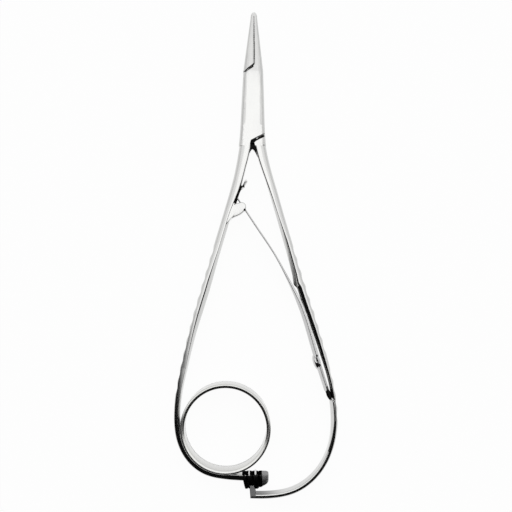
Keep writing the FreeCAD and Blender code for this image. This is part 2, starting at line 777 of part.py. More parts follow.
def fingerRing():
    body = doc.addObject("PartDesign::Body", "FingerRing")
    inner = "Sizes.ringRadius - Sizes.ringWall"
    sketch = outlineSketch(body, "RingSection", "XZ_Plane", [
        (inner, None), ("Sizes.ringRadius", None),
        ("Sizes.ringRadius", "Sizes.ringWidth"), (inner, "Sizes.ringWidth"),
    ])
    turn = revolved(body, sketch)
    rims = []
    for index, edge in enumerate(turn.Shape.Edges, start=1):
        if edge.isClosed() and len(edge.Vertexes) == 1:
            rims.append("Edge%d" % index)
    fillet = body.newObject("PartDesign::Fillet", "RingRims")
    fillet.Base = (turn, rims)
    fillet.setExpression("Radius", "Sizes.ringEdge")
    body.setExpression("Placement.Base.x", "Sizes.ringX")
    body.setExpression("Placement.Base.y", "Sizes.ringY")
    doc.recompute()
    return body


def springScrew(line, middle):
    body = doc.addObject("PartDesign::Body", "SpringScrew")
    under = "Sizes.leafGap + Sizes.leafThick"
    sketch = outlineSketch(body, "ScrewSection", "XZ_Plane", [
        (None, "-Sizes.screwBite"),
        ("Sizes.screwShankRadius", "-Sizes.screwBite"),
        ("Sizes.screwShankRadius", under),
        ("Sizes.screwHeadRadius", under),
        ("Sizes.screwHeadRadius", under + " + Sizes.screwHeadHeight - Sizes.screwEdge"),
        ("Sizes.screwHeadRadius - Sizes.screwEdge", under + " + Sizes.screwHeadHeight"),
        (None, under + " + Sizes.screwHeadHeight"),
    ])
    revolved(body, sketch)
    solid = body.Shape.Volume
    slot = outlineSketch(body, "SlotSection", "XZ_Plane", [
        ("-Sizes.screwSlot / 2", under + " + Sizes.screwHeadHeight - Sizes.screwSlotDepth"),
        ("Sizes.screwSlot / 2", under + " + Sizes.screwHeadHeight - Sizes.screwSlotDepth"),
        ("Sizes.screwSlot / 2", under + " + Sizes.screwHeadHeight + Sizes.screwSlotDepth"),
        ("-Sizes.screwSlot / 2", under + " + Sizes.screwHeadHeight + Sizes.screwSlotDepth"),
    ])
    cut = body.newObject("PartDesign::Pocket", "ScrewSlot")
    cut.Profile = slot
    cut.Type = 1
    cut.Midplane = True
    doc.recompute()
    if body.Shape.Volume >= solid:
        raise RuntimeError("the screw's slot cuts nothing")
    seat, inward = innerFace(line, line.markAtY(size("screwY")))
    body.Placement = Placement(seat + Vector(0, 0, middle), Rotation(Vector(0, 0, 1), inward))
    doc.recompute()
    return body


def screwHole(line, middle):
    """The threaded hole in the right arm and the strip's hole share the shank's radius."""
    seat, inward = innerFace(line, line.markAtY(size("screwY")))
    start = seat - inward * size("screwBite") + Vector(0, 0, middle)
    length = size("screwBite") + size("leafThick") + 2 * size("leafGap")
    return Part.makeCylinder(size("screwShankRadius"), length, start, inward)


def screwSeat(line, middle):
    """The spot face in the strip that the screw's head lies on."""
    seat, inward = innerFace(line, line.markAtY(size("screwY")))
    start = seat + inward * (size("leafGap") + size("leafThick")) + Vector(0, 0, middle)
    return Part.makeCylinder(size("screwHeadRadius"), size("leafThick"), start, inward)


def build():
    fillSheet()
    middle = size("ringWidth") / 2
    level = Placement(Vector(0, 0, middle), Rotation())
    lean = Rotation(Vector(0, 0, 1), size("headTilt"))
    head = Placement(Vector(size("pivotX"), size("pivotY"), middle), lean)
    leftLine = leftArmLine()
    rightLine = rightArmLine()

    envelope = feature("HeadEnvelope", headEnvelope(), head)
    serrations = feature("JawSerrations", jawSerrations(), head)
    pinBlank = upright("PinBlank", "Sizes.pinRadius", "Sizes.boxThick", "Sizes.pivotX", "Sizes.pivotY")
    pinSpace = upright("PinSpace", "Sizes.pinRadius + Sizes.pinGap", "Sizes.boxThick",
                       "Sizes.pivotX", "Sizes.pivotY")

    # Female half: right jaw, cheeks, left arm, lug and rack
    cheeks = boolean("Common", "Cheeks", envelope, feature("FemaleRegion", femaleRegion(), head))
    slotted = boolean("Cut", "SlottedCheeks", cheeks, feature("SlotSpace", slotSpace(), head))
    femaleHead = boolean("Cut", "FemaleHead", slotted, serrations)
    hollows = feature("LeftHollows", scallops(leftLine, size("leftHollows")), level)
    ridged = boolean("Cut", "LeftArmRidged", feature("LeftArmBlank", armBlank(leftLine), level), hollows)
    lugBody, lugWindow = lug(leftLine, rightLine)
    leftSide = fused("LeftSide", [femaleHead, ridged, feature("LugBody", lugBody, level),
                                  feature("Rack", rack(), level)])
    windowed = boolean("Cut", "LugWindow", leftSide, feature("LugWindowSpace", lugWindow, level))
    ringSpace = upright("RingSpace", "Sizes.ringRadius", "Sizes.ringWidth", "Sizes.ringX", "Sizes.ringY")
    saddled = boolean("Cut", "RingSaddle", windowed, ringSpace)
    femaleHalf = boolean("Cut", "FemaleHalf", saddled, pinBlank)

    # Male half: left jaw, tongue, right arm and pawl
    regions = fused("MaleRegions", [
        feature("JawRegion", jawRegion(), head),
        feature("RightRootRegion", rightRootRegion(), head),
        feature("TongueRegion", tongueRegion(), head),
    ])
    maleHead = boolean("Cut", "MaleHead", boolean("Common", "MaleBlank", envelope, regions), serrations)
    hollows = feature("RightHollows", scallops(rightLine, size("rightHollows"), size("plainHollow")), level)
    ridged = boolean("Cut", "RightArmRidged", feature("RightArmBlank", armBlank(rightLine), level), hollows)
    ridged = boolean("Cut", "RightArmRecessed", ridged, feature("LeafRecess", leafRecess(rightLine), level))
    rightSide = fused("RightSide", [maleHead, ridged, feature("Pawl", pawl(), level)])
    drilled = boolean("Cut", "PinBore", rightSide, pinSpace)
    hole = feature("ScrewHole", screwHole(rightLine, middle))
    maleHalf = boolean("Cut", "MaleHalf", drilled, hole)

    strap = boolean("Cut", "LeafDrilled", feature("LeafBlank", leaf(rightLine), level), hole)
    leafSpring = boolean("Cut", "LeafSpring", strap, feature("ScrewSeat", screwSeat(rightLine, middle)))
    pin = boolean("Common", "BoxPin", pinBlank, envelope)

    parts = [
        named(femaleHalf, "female_half"),
        named(maleHalf, "male_half"),
        named(pin, "box_pin"),
        named(fingerRing(), "finger_ring"),
        named(leafSpring, "leaf_spring"),
        named(springScrew(rightLine, middle), "spring_screw"),
    ]
    doc.recompute()
    return parts


def check(parts):
    for item in doc.Objects:
        if "Invalid" in item.State or "Error" in item.State:
            raise RuntimeError("failed: " + item.Name)
    for item in parts:
        if item.Shape.isNull() or not item.Shape.isValid():
            raise RuntimeError("bad shape: " + item.Label)


def export(parts):
    for item in parts:
        item.Shape.exportStep("parts/%s.step" % item.Label)
        box = item.Shape.optimalBoundingBox(False, False)
        print("%-14s solids %d  volume %9.3f mm3  X %.2f %.2f  Y %.2f %.2f  Z %.2f %.2f" % (
            item.Label, len(item.Shape.Solids), item.Shape.Volume,
            box.XMin, box.XMax, box.YMin, box.YMax, box.ZMin, box.ZMax))


made = build()
check(made)
export(made)
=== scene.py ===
import math

import bmesh
import bpy
import numpy as np
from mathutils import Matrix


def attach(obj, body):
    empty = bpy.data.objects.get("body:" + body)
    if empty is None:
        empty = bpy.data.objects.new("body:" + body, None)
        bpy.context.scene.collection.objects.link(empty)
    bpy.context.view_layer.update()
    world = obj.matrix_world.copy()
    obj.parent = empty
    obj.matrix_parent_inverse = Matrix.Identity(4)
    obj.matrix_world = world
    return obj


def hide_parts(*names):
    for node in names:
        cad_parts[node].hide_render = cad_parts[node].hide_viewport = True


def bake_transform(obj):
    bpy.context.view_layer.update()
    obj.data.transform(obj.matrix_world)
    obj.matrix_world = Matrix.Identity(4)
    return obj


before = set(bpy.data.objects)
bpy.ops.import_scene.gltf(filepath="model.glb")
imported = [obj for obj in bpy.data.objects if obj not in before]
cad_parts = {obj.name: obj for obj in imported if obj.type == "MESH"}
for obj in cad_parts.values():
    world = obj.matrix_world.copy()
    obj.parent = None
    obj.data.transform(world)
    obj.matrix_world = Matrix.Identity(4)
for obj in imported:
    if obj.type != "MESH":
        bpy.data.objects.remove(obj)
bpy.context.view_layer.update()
print("frame loaded")

mm = 0.001

# The tool lies flat. Lengths below are millimetres, z counts from the middle plane.
tool = {
    "middleZ": 3.25,
    "pivot": (-0.90, 43.50),
    "lean": -0.65,          # degrees that the heads' middle line turns in plan
    "ringCentre": (-8.75, -49.46),
    "ringRadius": 12.96,
    "cutY": 31.60,          # the heads end here and the arms begin
}
pivotX, pivotY = tool["pivot"]
lean = math.sin(math.radians(tool["lean"]))


# An x that is this far out from the heads' middle line at height y of the plan.
def leaning(out, y):
    return pivotX + out + (pivotY - y) * lean


# Curves

# A natural cubic through the points: straight-line blend of two neighbours plus (w^3 - w) times their bend.
def splineThrough(points, marks, at):
    gap = np.diff(marks)
    count = len(points)
    inner = np.arange(1, count - 1)
    system = np.eye(count)
    system[inner, inner - 1] = gap[:-1]
    system[inner, inner] = 2 * (gap[:-1] + gap[1:])
    system[inner, inner + 1] = gap[1:]
    right = np.zeros_like(points)
    right[1:-1] = 6 * np.diff(np.diff(points, axis=0) / gap[:, None], axis=0)
    bend = np.linalg.solve(system, right)
    k = np.clip(np.searchsorted(marks, at, side="right") - 1, 0, count - 2)
    w = ((at - marks[k]) / gap[k])[:, None]
    v = 1 - w
    step = (gap[k] ** 2 / 6)[:, None]
    return v * points[k] + w * points[k + 1] + step * ((v ** 3 - v) * bend[k] + (w ** 3 - w) * bend[k + 1])


# A path in plan: dense points, the direction across it (right of travel times side) and lengths along it.
# Each row of table is x, y and any further columns, which are carried along by straight-line blends.
def planPath(table, spacing, side=1):
    table = np.array(table, float)
    marks = np.concatenate([[0], np.cumsum(np.linalg.norm(np.diff(table[:, :2], axis=0), axis=1))])
    at = np.linspace(0, marks[-1], int(marks[-1] / spacing) + 1)
    place = splineThrough(table[:, :2], marks, at)
    along = np.gradient(place, at, axis=0)
    along /= np.linalg.norm(along, axis=1)[:, None]
    across = np.stack([along[:, 1], -along[:, 0]], axis=1) * side
    extra = [np.interp(at, marks, table[:, c]) for c in range(2, table.shape[1])]
    return place, across, at, extra


# A closed curve that rounds off a control polygon: each corner becomes a parabola between the middles of its sides.
def roundedLoop(control, samples):
    s = (np.arange(samples) / samples)[None, None, :, None]
    before = np.roll(control, 1, axis=1)[:, :, None]
    after = np.roll(control, -1, axis=1)[:, :, None]
    here = control[:, :, None]
    start, end = (before + here) / 2, (here + after) / 2
    loop = (1 - s) ** 2 * start + 2 * s * (1 - s) * here + s ** 2 * end
    return loop.reshape(len(control), -1, control.shape[-1])


# A half outline from the inner middle over the top to the outer middle, completed by its mirror image below.
def mirroredHalf(half):
    lower = half[..., -2:0:-1, :] * np.array([1.0, -1.0])
    return np.concatenate([half, lower], axis=-2)


# Smaller of two values with a soft corner: half the sum less half the root of the squared difference and softness.
def softMin(a, b, softness):
    return 0.5 * (a + b - np.sqrt((a - b) ** 2 + softness ** 2))


# A smooth step from 0 at low to 1 at high: t^2 (3 - 2t) of the share t between them.
def ramp(value, low, high):
    t = np.clip((value - low) / (high - low), 0, 1)
    return t * t * (3 - 2 * t)


# Side of an upright slab with rounded edges, from below: inset edge (1 - cos), height edge sin beyond the flat.
def roundedSide(half, edge):
    bow = np.linspace(0, math.pi / 2, 6)
    inset = edge * (1 - np.cos(bow))
    level = (half - edge) + edge * np.sin(bow)
    return np.concatenate([inset[::-1], inset]), np.concatenate([-level[::-1], level])


# Meshes

def makeMesh(name, vertices, quads, triangles=None):
    triangles = np.zeros((0, 3), int) if triangles is None else triangles
    corners = np.concatenate([quads.ravel(), triangles.ravel()]).astype(np.int32)
    sizes = np.concatenate([np.full(len(quads), 4), np.full(len(triangles), 3)])
    starts = np.concatenate([[0], np.cumsum(sizes)[:-1]]).astype(np.int32)
    mesh = bpy.data.meshes.new(name)
    mesh.vertices.add(len(vertices))
    mesh.vertices.foreach_set("co", (np.asarray(vertices) * mm).astype(np.float32).ravel())
    mesh.loops.add(len(corners))
    mesh.loops.foreach_set("vertex_index", corners)
    mesh.polygons.add(len(sizes))
    mesh.polygons.foreach_set("loop_start", starts)
    mesh.update(calc_edges=True)
    return mesh


# Rows of points joined by quads. Each row is a closed ring. Ends close with a fan, or the last row meets the first.
def ringMesh(name, rows, looped=False):
    n, m = rows.shape[:2]
    i = np.arange(n if looped else n - 1)[:, None]
    j = np.arange(m)[None, :]
    following = (i + 1) % n
    quads = np.stack([i * m + j, i * m + (j + 1) % m, following * m + (j + 1) % m, following * m + j], axis=-1)
    vertices = rows.reshape(-1, 3)
    triangles = None
    if not looped:
        ring = np.arange(m)
        vertices = np.vstack([vertices, rows[0].mean(axis=0), rows[-1].mean(axis=0)])
        first = np.stack([np.full(m, n * m), (ring + 1) % m, ring], axis=1)
        last = np.stack([np.full(m, n * m + 1), (n - 1) * m + ring, (n - 1) * m + (ring + 1) % m], axis=1)
        triangles = np.vstack([first, last])
    return makeMesh(name, vertices, quads.reshape(-1, 4), triangles)


# An upright plug with rounded edges: circles of the radius less the inset, at the levels of a rounded side.
def plugRows(centre, radius, half, edge):
    inset, level = roundedSide(half, edge)
    turn = np.linspace(0, 2 * math.pi, 32, endpoint=False)
    spread = (radius - inset)[:, None]
    return np.stack([centre[0] + spread * np.cos(turn), centre[1] + spread * np.sin(turn),
                     tool["middleZ"] + level[:, None] + 0 * turn], axis=-1)


# A section at each point of a path: the plan point plus offset times the direction across, at height z.
def placed(plan, across, offset, z):
    spot = plan[:, None, :] + across[:, None, :] * offset[..., None]
    return np.concatenate([spot, (z + tool["middleZ"])[..., None]], axis=-1)


# Joins meshes into one piece with outward faces, smooth but for edges sharper than the angle.
def piece(name, meshes, body, material, sharpAngle=38, replaces=()):
    work = bmesh.new()
    for mesh in meshes:
        work.from_mesh(mesh)
    bmesh.ops.recalc_face_normals(work, faces=work.faces)
    whole = bpy.data.meshes.new(name)
    work.to_mesh(whole)
    work.free()
    whole.polygons.foreach_set("use_smooth", np.ones(len(whole.polygons), bool))
    whole.set_sharp_from_angle(angle=math.radians(sharpAngle))
    whole.materials.append(material)
    made = bpy.data.objects.new(name, whole)
    bpy.context.scene.collection.objects.link(made)
    if body:
        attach(made, body)
    if replaces:
        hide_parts(*replaces)
    return made


# Shader nodes

def newGroup(name, inputs, outputs):
    group = bpy.data.node_groups.new(name, "ShaderNodeTree")
    for label, kind, value in inputs:
        socket = group.interface.new_socket(name=label, in_out="INPUT", socket_type=kind)
        if value is not None:
            socket.default_value = value
    for label, kind in outputs:
        group.interface.new_socket(name=label, in_out="OUTPUT", socket_type=kind)
    return group, group.nodes.new("NodeGroupInput"), group.nodes.new("NodeGroupOutput")


def node(tree, kind, **settings):
    made = tree.nodes.new(kind)
    for key, value in settings.items():
        setattr(made, key, value)
    return made


# Links a socket to an input, or sets the input to a fixed value.
def feed(tree, socket, value):
    if isinstance(value, bpy.types.NodeSocket):
        tree.links.new(value, socket)
    elif value is not None:
        socket.default_value = value


def mathNode(tree, operation, first, second=None):
    made = node(tree, "ShaderNodeMath", operation=operation)
    feed(tree, made.inputs[0], first)
    feed(tree, made.inputs[1], second)
    return made.outputs[0]


# A value's step from 0 at low to 1 at high, smooth or straight.
def stepNode(tree, value, low, high, kind="SMOOTHSTEP"):
    made = node(tree, "ShaderNodeMapRange", interpolation_type=kind)
    feed(tree, made.inputs["From Min"], low)
    feed(tree, made.inputs["From Max"], high)
    feed(tree, made.inputs["Value"], value)
    return made.outputs[0]


# Two values of one kind, RGBA or FLOAT, blended by a share.
def mixNode(tree, kind, share, first, second):
    made = node(tree, "ShaderNodeMix", data_type=kind)
    feed(tree, made.inputs["Factor"], share)
    feed(tree, made.inputs["A"], first)
    feed(tree, made.inputs["B"], second)
    return made.outputs["Result"]


# Materials

finishDetail = {
    "lines": 3.0, "clouds": 4.0, "cloudRoughness": 0.6,
    "cloudFrom": 0.42, "cloudTo": 0.72,     # noise values between which a cloud fades in
    "tint": 0.5, "rough": 0.04,             # what a full cloud adds to colour and roughness
}


# Fine polishing lines: noise stretched along the tool, plus softer clouds from handling.
def steelFinishGroup():
    inputs = [
        ("Vector", "NodeSocketVector", None), ("Line Scale", "NodeSocketFloat", 2400.0),
        ("Stretch", "NodeSocketFloat", 0.06), ("Cloud Scale", "NodeSocketFloat", 90.0),
        ("Roughness", "NodeSocketFloat", 0.16), ("Line Roughness", "NodeSocketFloat", 0.08),
        ("Colour", "NodeSocketColor", (0.6, 0.6, 0.6, 1.0)), ("Cloud Tint", "NodeSocketColor", (0.5, 0.5, 0.5, 1.0)),
    ]
    outputs = [("Colour", "NodeSocketColor"), ("Roughness", "NodeSocketFloat"), ("Height", "NodeSocketFloat")]
    group, start, end = newGroup("steelFinish", inputs, outputs)
    stretch = node(group, "ShaderNodeCombineXYZ")
    feed(group, stretch.inputs["X"], 1.0)
    feed(group, stretch.inputs["Y"], start.outputs["Stretch"])
    feed(group, stretch.inputs["Z"], 1.0)
    scaled = node(group, "ShaderNodeVectorMath", operation="MULTIPLY")
    feed(group, scaled.inputs[0], start.outputs["Vector"])
    feed(group, scaled.inputs[1], stretch.outputs[0])
    lines = node(group, "ShaderNodeTexNoise")
    feed(group, lines.inputs["Vector"], scaled.outputs[0])
    feed(group, lines.inputs["Scale"], start.outputs["Line Scale"])
    feed(group, lines.inputs["Detail"], finishDetail["lines"])
    clouds = node(group, "ShaderNodeTexNoise")
    feed(group, clouds.inputs["Vector"], start.outputs["Vector"])
    feed(group, clouds.inputs["Scale"], start.outputs["Cloud Scale"])
    feed(group, clouds.inputs["Detail"], finishDetail["clouds"])
    feed(group, clouds.inputs["Roughness"], finishDetail["cloudRoughness"])
    cloud = stepNode(group, clouds.outputs["Fac"], finishDetail["cloudFrom"], finishDetail["cloudTo"], "LINEAR")
    tinted = mixNode(group, "RGBA", mathNode(group, "MULTIPLY", cloud, finishDetail["tint"]),
                     start.outputs["Colour"], start.outputs["Cloud Tint"])
    feed(group, end.inputs["Colour"], tinted)
    lineShare = mathNode(group, "MULTIPLY", lines.outputs["Fac"], start.outputs["Line Roughness"])
    cloudShare = mathNode(group, "MULTIPLY", cloud, finishDetail["rough"])
    rough = mathNode(group, "ADD", mathNode(group, "ADD", start.outputs["Roughness"], lineShare), cloudShare)
    feed(group, end.inputs["Roughness"], rough)
    feed(group, end.inputs["Height"], lines.outputs["Fac"])
    return group


# Painted shade in narrow gaps: its colour, and the openness over which it fades out
gapShade = {"samples": 8, "shut": 0.10, "open": 0.62, "shadeColour": (0.01, 0.01, 0.01, 1.0)}


# Painted shade in narrow gaps: how open a point is within reach, by ambient occlusion, turned into a share of its
# colour, so that gaps go dark.
def creviceGroup():
    inputs = [("Colour", "NodeSocketColor", (0.6, 0.6, 0.6, 1.0)), ("Reach", "NodeSocketFloat", 0.0008)]
    group, start, end = newGroup("crevice", inputs, [("Colour", "NodeSocketColor")])
    openness = node(group, "ShaderNodeAmbientOcclusion", samples=gapShade["samples"])
    feed(group, openness.inputs["Distance"], start.outputs["Reach"])
    share = stepNode(group, openness.outputs["AO"], gapShade["shut"], gapShade["open"])
    feed(group, end.inputs["Colour"], mixNode(group, "RGBA", share, gapShade["shadeColour"], start.outputs["Colour"]))
    return group


curveShade = {
    "X": (0.5, 9.0), "Z": (4.9, 5.3), "Y": (-65.5, -63.8),      # full at the first value, none at the second
    "share": 0.96, "dark": (0.02, 0.02, 0.02, 1.0),
}


# Painted shade: the lower curve darkens towards the pawl, standing in for the rack's shade and its dark reflection
# there: by x, below its crest only.
def pawlShadeGroup():
    inputs = [("Vector", "NodeSocketVector", None), ("Colour", "NodeSocketColor", None)]
    group, start, end = newGroup("pawlShade", inputs, [("Colour", "NodeSocketColor")])
    parts = node(group, "ShaderNodeSeparateXYZ")
    feed(group, parts.inputs[0], start.outputs["Vector"])
    shade = curveShade["share"]
    for axis in ("X", "Z", "Y"):
        low, high = curveShade[axis]
        beyond = stepNode(group, parts.outputs[axis], low * mm, high * mm)
        shade = mathNode(group, "MULTIPLY", shade, mathNode(group, "SUBTRACT", 1.0, beyond))
    feed(group, end.inputs["Colour"], mixNode(group, "RGBA", shade, start.outputs["Colour"], curveShade["dark"]))
    return group


steelFinish = steelFinishGroup()
crevice = creviceGroup()
pawlShade = pawlShadeGroup()


def steel(name, look):
    material = bpy.data.materials.new(name)
    material.use_nodes = True
    tree = material.node_tree
    shader = tree.nodes["Principled BSDF"]
    feed(tree, shader.inputs["Metallic"], 1.0)
    feed(tree, shader.inputs["Specular Tint"], (look["Edge"], look["Edge"], look["Edge"], 1.0))
    where = node(tree, "ShaderNodeTexCoord")
    finish = node(tree, "ShaderNodeGroup", node_tree=steelFinish)
    for key in ("Line Scale", "Stretch", "Cloud Scale", "Roughness", "Line Roughness"):
        feed(tree, finish.inputs[key], look[key])
    feed(tree, finish.inputs["Colour"], (*look["Colour"], 1.0))
    feed(tree, finish.inputs["Cloud Tint"], (*look["Cloud Tint"], 1.0))
    feed(tree, finish.inputs["Vector"], where.outputs["Object"])
    # painted shade and reflection towards the pawl, in every steel
    shade = node(tree, "ShaderNodeGroup", node_tree=pawlShade)
    feed(tree, shade.inputs["Vector"], where.outputs["Object"])
    feed(tree, shade.inputs["Colour"], finish.outputs["Colour"])
    # painted shade in narrow gaps, by ambient occlusion
    gaps = node(tree, "ShaderNodeGroup", node_tree=crevice)
    feed(tree, gaps.inputs["Reach"], look["Reach"])
    feed(tree, gaps.inputs["Colour"], shade.outputs["Colour"])
    feed(tree, shader.inputs["Base Color"], gaps.outputs["Colour"])
    feed(tree, shader.inputs["Roughness"], finish.outputs["Roughness"])
    bump = node(tree, "ShaderNodeBump")
    feed(tree, bump.inputs["Strength"], look["Bump"])
    feed(tree, bump.inputs["Distance"], 0.02 * mm)
    feed(tree, bump.inputs["Height"], finish.outputs["Height"])
    feed(tree, shader.inputs["Normal"], bump.outputs["Normal"])
    return material


# Edge is the tint of grazing reflections, Reach how far a gap's shade looks round, in metres
satin = {
    "Line Scale": 2400.0, "Stretch": 0.06, "Cloud Scale": 90.0, "Roughness": 0.10, "Line Roughness": 0.07,
    "Colour": (0.62, 0.62, 0.61), "Cloud Tint": (0.56, 0.56, 0.56), "Bump": 0.12, "Reach": 0.0008, "Edge": 1.0,
}
forgedSteel = steel("forgedSteel", satin)
ringSteel = steel("ringSteel", {**satin, "Roughness": 0.12, "Colour": (0.64, 0.64, 0.62)})
springSteel = steel("springSteel", {**satin, "Roughness": 0.24, "Colour": (0.60, 0.60, 0.60), "Bump": 0.35})
screwSteel = steel("screwSteel", {**satin, "Colour": (0.60, 0.60, 0.60), "Bump": 0.15, "Reach": 0.0002})
# A near-black copy of the steel, for dark strips and plugs of painted shade in gaps
paintedShadeSteel = steel("paintedShadeSteel", {**satin, "Roughness": 0.45, "Colour": (0.012, 0.012, 0.012),
                                 "Cloud Tint": (0.02, 0.018, 0.015), "Edge": 0.12})
# A near-black copy of the steel with dull grazing reflections, for the rack: painted shade and dark reflections over
# its teeth
shadedToothSteel = steel("shadedToothSteel", {**satin, "Roughness": 0.24, "Colour": (0.025, 0.025, 0.025),
                                  "Cloud Tint": (0.02, 0.02, 0.02), "Edge": 0.12})
# A darker, rougher copy of the steel for the rack's collar and the pawl: painted shade at the rack's end and on the
# pawl
shadedCollarSteel = steel("shadedCollarSteel", {**satin, "Roughness": 0.50, "Colour": (0.30, 0.30, 0.30),
                                    "Cloud Tint": (0.22, 0.22, 0.22)})
print("materials made")


# Heads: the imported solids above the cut, merged, crowned and smoothed

head = {
    "crown": 0.05,          # share of the half thickness that the flat side loses at the flanks
    "halfWidth": 3.24,
    "slotHalf": 0.92,       # the changes of form start at this height over the middle and are full at the next
    "outerHalf": 2.00,
    "seamShift": ([50.0, 54.5, 70.0], [0.0, 0.24, 0.12]),   # the seam moves sideways: y, and by how much
    "seamReach": 1.60,
    "shoulderDrop": 0.24,   # and the upper shoulder moves down, as a bell about its y
    "shoulderAt": 53.4,
    "shoulderBell": 2.0,
    "groove": 0.13,         # share lost along the jaws' meeting line
    "grooveHalf": 0.24,
    "grooveFrom": 54.9,
    "grooveRun": 0.3,
    "lines": [-3.0, -2.6, -2.2, -1.8, -1.4, -1.0, -0.6, -0.24, -0.1, 0.0,
              0.1, 0.24, 0.6, 1.0, 1.4, 1.8, 2.2, 2.6, 3.0],
    "flatHalf": 1.9,        # where the flats' own normals hold: half width, up to y, and wider below the shoulder
    "flatTo": 52.0,
    "shoulder": 37.5,
    "shoulderHalf": 2.9,
    "flatFrom": 0.9,        # and only where a face looks this much up or down
    "sharp": 30,
}


# Height about the middle plane shrinks by 1 - crown (u / halfWidth)^2 and by a V along the line where the jaws meet,
# in full at the outer faces and not at all at the slot inside. So does a small shift of the seam: sideways by
# (1 - (u / reach)^2)^2 of seamShift, and down by a bell about the upper shoulder.
def crowned(points):
    y = points[:, 1] / mm
    offset = points[:, 0] / mm - leaning(0, y)
    less = head["crown"] * np.clip(offset / head["halfWidth"], -1, 1) ** 2
    valley = np.clip(1 - np.abs(offset) / head["grooveHalf"], 0, 1)
    less = less + head["groove"] * valley * ramp(y, head["grooveFrom"], head["grooveFrom"] + head["grooveRun"])
    middle = tool["middleZ"] * mm
    high = np.abs(points[:, 2] - middle) / mm - head["slotHalf"]
    share = np.clip(high / (head["outerHalf"] - head["slotHalf"]), 0, 1)
    bump = np.clip(1 - (offset / head["seamReach"]) ** 2, 0, 1) ** 2
    drop = head["shoulderDrop"] * np.exp(-((y - head["shoulderAt"]) / head["shoulderBell"]) ** 2)
    return np.stack([points[:, 0] + np.interp(y, *head["seamShift"]) * bump * share * mm,
                     points[:, 1] - drop * share * mm,
                     middle + (points[:, 2] - middle) * (1 - less * share)], axis=1)


# One field of all of a mesh's items, as rows of width numbers, or as whole numbers where no width is given.
def gathered(items, field, width=0):
    values = np.zeros(len(items) * max(width, 1), float if width else int)
    items.foreach_get(field, values)
    return values.reshape(-1, width) if width else values


# The cheeks' flats get the crown's own normal, 2 crown u / halfWidth^2 of the half thickness sideways, so that thin
# triangles don't show.
def levelNormals(mesh):
    corners = gathered(mesh.corner_normals, "vector", 3)
    faces = np.repeat(gathered(mesh.polygons, "normal", 3), gathered(mesh.polygons, "loop_total"), axis=0)
    points = gathered(mesh.vertices, "co", 3)[gathered(mesh.loops, "vertex_index")]
    y = points[:, 1] / mm
    offset = points[:, 0] / mm - leaning(0, y)
    thick = np.abs(points[:, 2] / mm - tool["middleZ"])
    halfWidth = head["halfWidth"]
    slope = 2 * head["crown"] * np.clip(offset, -halfWidth, halfWidth) / halfWidth ** 2 * thick
    steep = np.maximum(np.abs(faces[:, 2]), 0.5)
    wanted = np.stack([slope, faces[:, 1] / steep, np.sign(faces[:, 2])], axis=1)
    wanted /= np.linalg.norm(wanted, axis=1)[:, None]
    limit = np.where(y < head["shoulder"], head["shoulderHalf"], head["flatHalf"])
    flat = (np.abs(offset) < limit) & (y < head["flatTo"]) & (np.abs(faces[:, 2]) > head["flatFrom"])
    mesh.normals_split_custom_set(np.where(flat[:, None], wanted, corners))


# Cuts all of a mesh along a plane. With clear, what lies beyond the plane goes.
def sliced(work, place, direction, clear=False):
    geometry = work.verts[:] + work.edges[:] + work.faces[:]
    return bmesh.ops.bisect_plane(work, geom=geometry, dist=1e-7, plane_co=place, plane_no=direction,
                                  clear_outer=clear)


# A copy of a solid is cut off at the arms' beginning and closed there. More cuts, where the groove starts and along
# the lines, give the crown points to move.
def headPiece(name, source, body):
    work = bmesh.new()
    work.from_mesh(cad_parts[source].data)
    bmesh.ops.remove_doubles(work, verts=work.verts, dist=0.0005 * mm)
    cut = sliced(work, (0, tool["cutY"] * mm, 0), (0, -1, 0), True)
    rim = [item for item in cut["geom_cut"] if isinstance(item, bmesh.types.BMEdge)]
    bmesh.ops.triangle_fill(work, edges=rim, use_beauty=True)
    for start in (0.0, head["grooveRun"] / 2, head["grooveRun"]):
        sliced(work, (0, (head["grooveFrom"] + start) * mm, 0), (0, 1, 0))
    for offset in head["lines"]:
        sliced(work, ((pivotX + offset) * mm, pivotY * mm, 0), (1, lean, 0))
    mesh = bpy.data.meshes.new(name)
    work.to_mesh(mesh)
    work.free()
    points = gathered(mesh.vertices, "co", 3)
    mesh.vertices.foreach_set("co", crowned(points).astype(np.float32).ravel())
    made = piece(name, [mesh], body, forgedSteel, head["sharp"], (source,))
    levelNormals(made.data)


headPiece("femaleHead", "female_half", "female")
headPiece("maleHead", "male_half", "male")


# Box pin: its ends are ground to the crown, a hair proud so that no seam shows
pin = {"radius": 1.25, "cap": 1.60, "skin": 0.05, "proud": 0.006, "half": 2.50, "rings": 8}


# Circles from the top's middle out to the cap's rim, skin below it in to the shank, and the same up from below. The
# ends are crowned as the cheeks are and raised by proud.
def pinRows():
    radii = np.concatenate([np.linspace(0.05, pin["cap"], pin["rings"]), [pin["cap"], pin["radius"]]])
    below = np.concatenate([np.zeros(pin["rings"]), [pin["skin"], pin["skin"]]])
    side = np.repeat([1.0, -1.0], len(radii))
    radii, below = np.concatenate([radii, radii[::-1]]), np.concatenate([below, below[::-1]])
    turn = np.linspace(0, 2 * math.pi, 48, endpoint=False)
    x = pivotX + radii[:, None] * np.cos(turn)
    y = pivotY + radii[:, None] * np.sin(turn)
    z = tool["middleZ"] + side[:, None] * (pin["half"] - below[:, None] + 0 * turn)
    points = crowned(np.stack([x, y, z], axis=-1).reshape(-1, 3) * mm) / mm
    points[:, 2] += np.repeat(side, len(turn)) * pin["proud"]
    return points.reshape(len(radii), len(turn), 3)


piece("boxPin", [ringMesh("boxPin", pinRows())], "female", forgedSteel, 35, ("box_pin",))
print("heads made")


# Arms

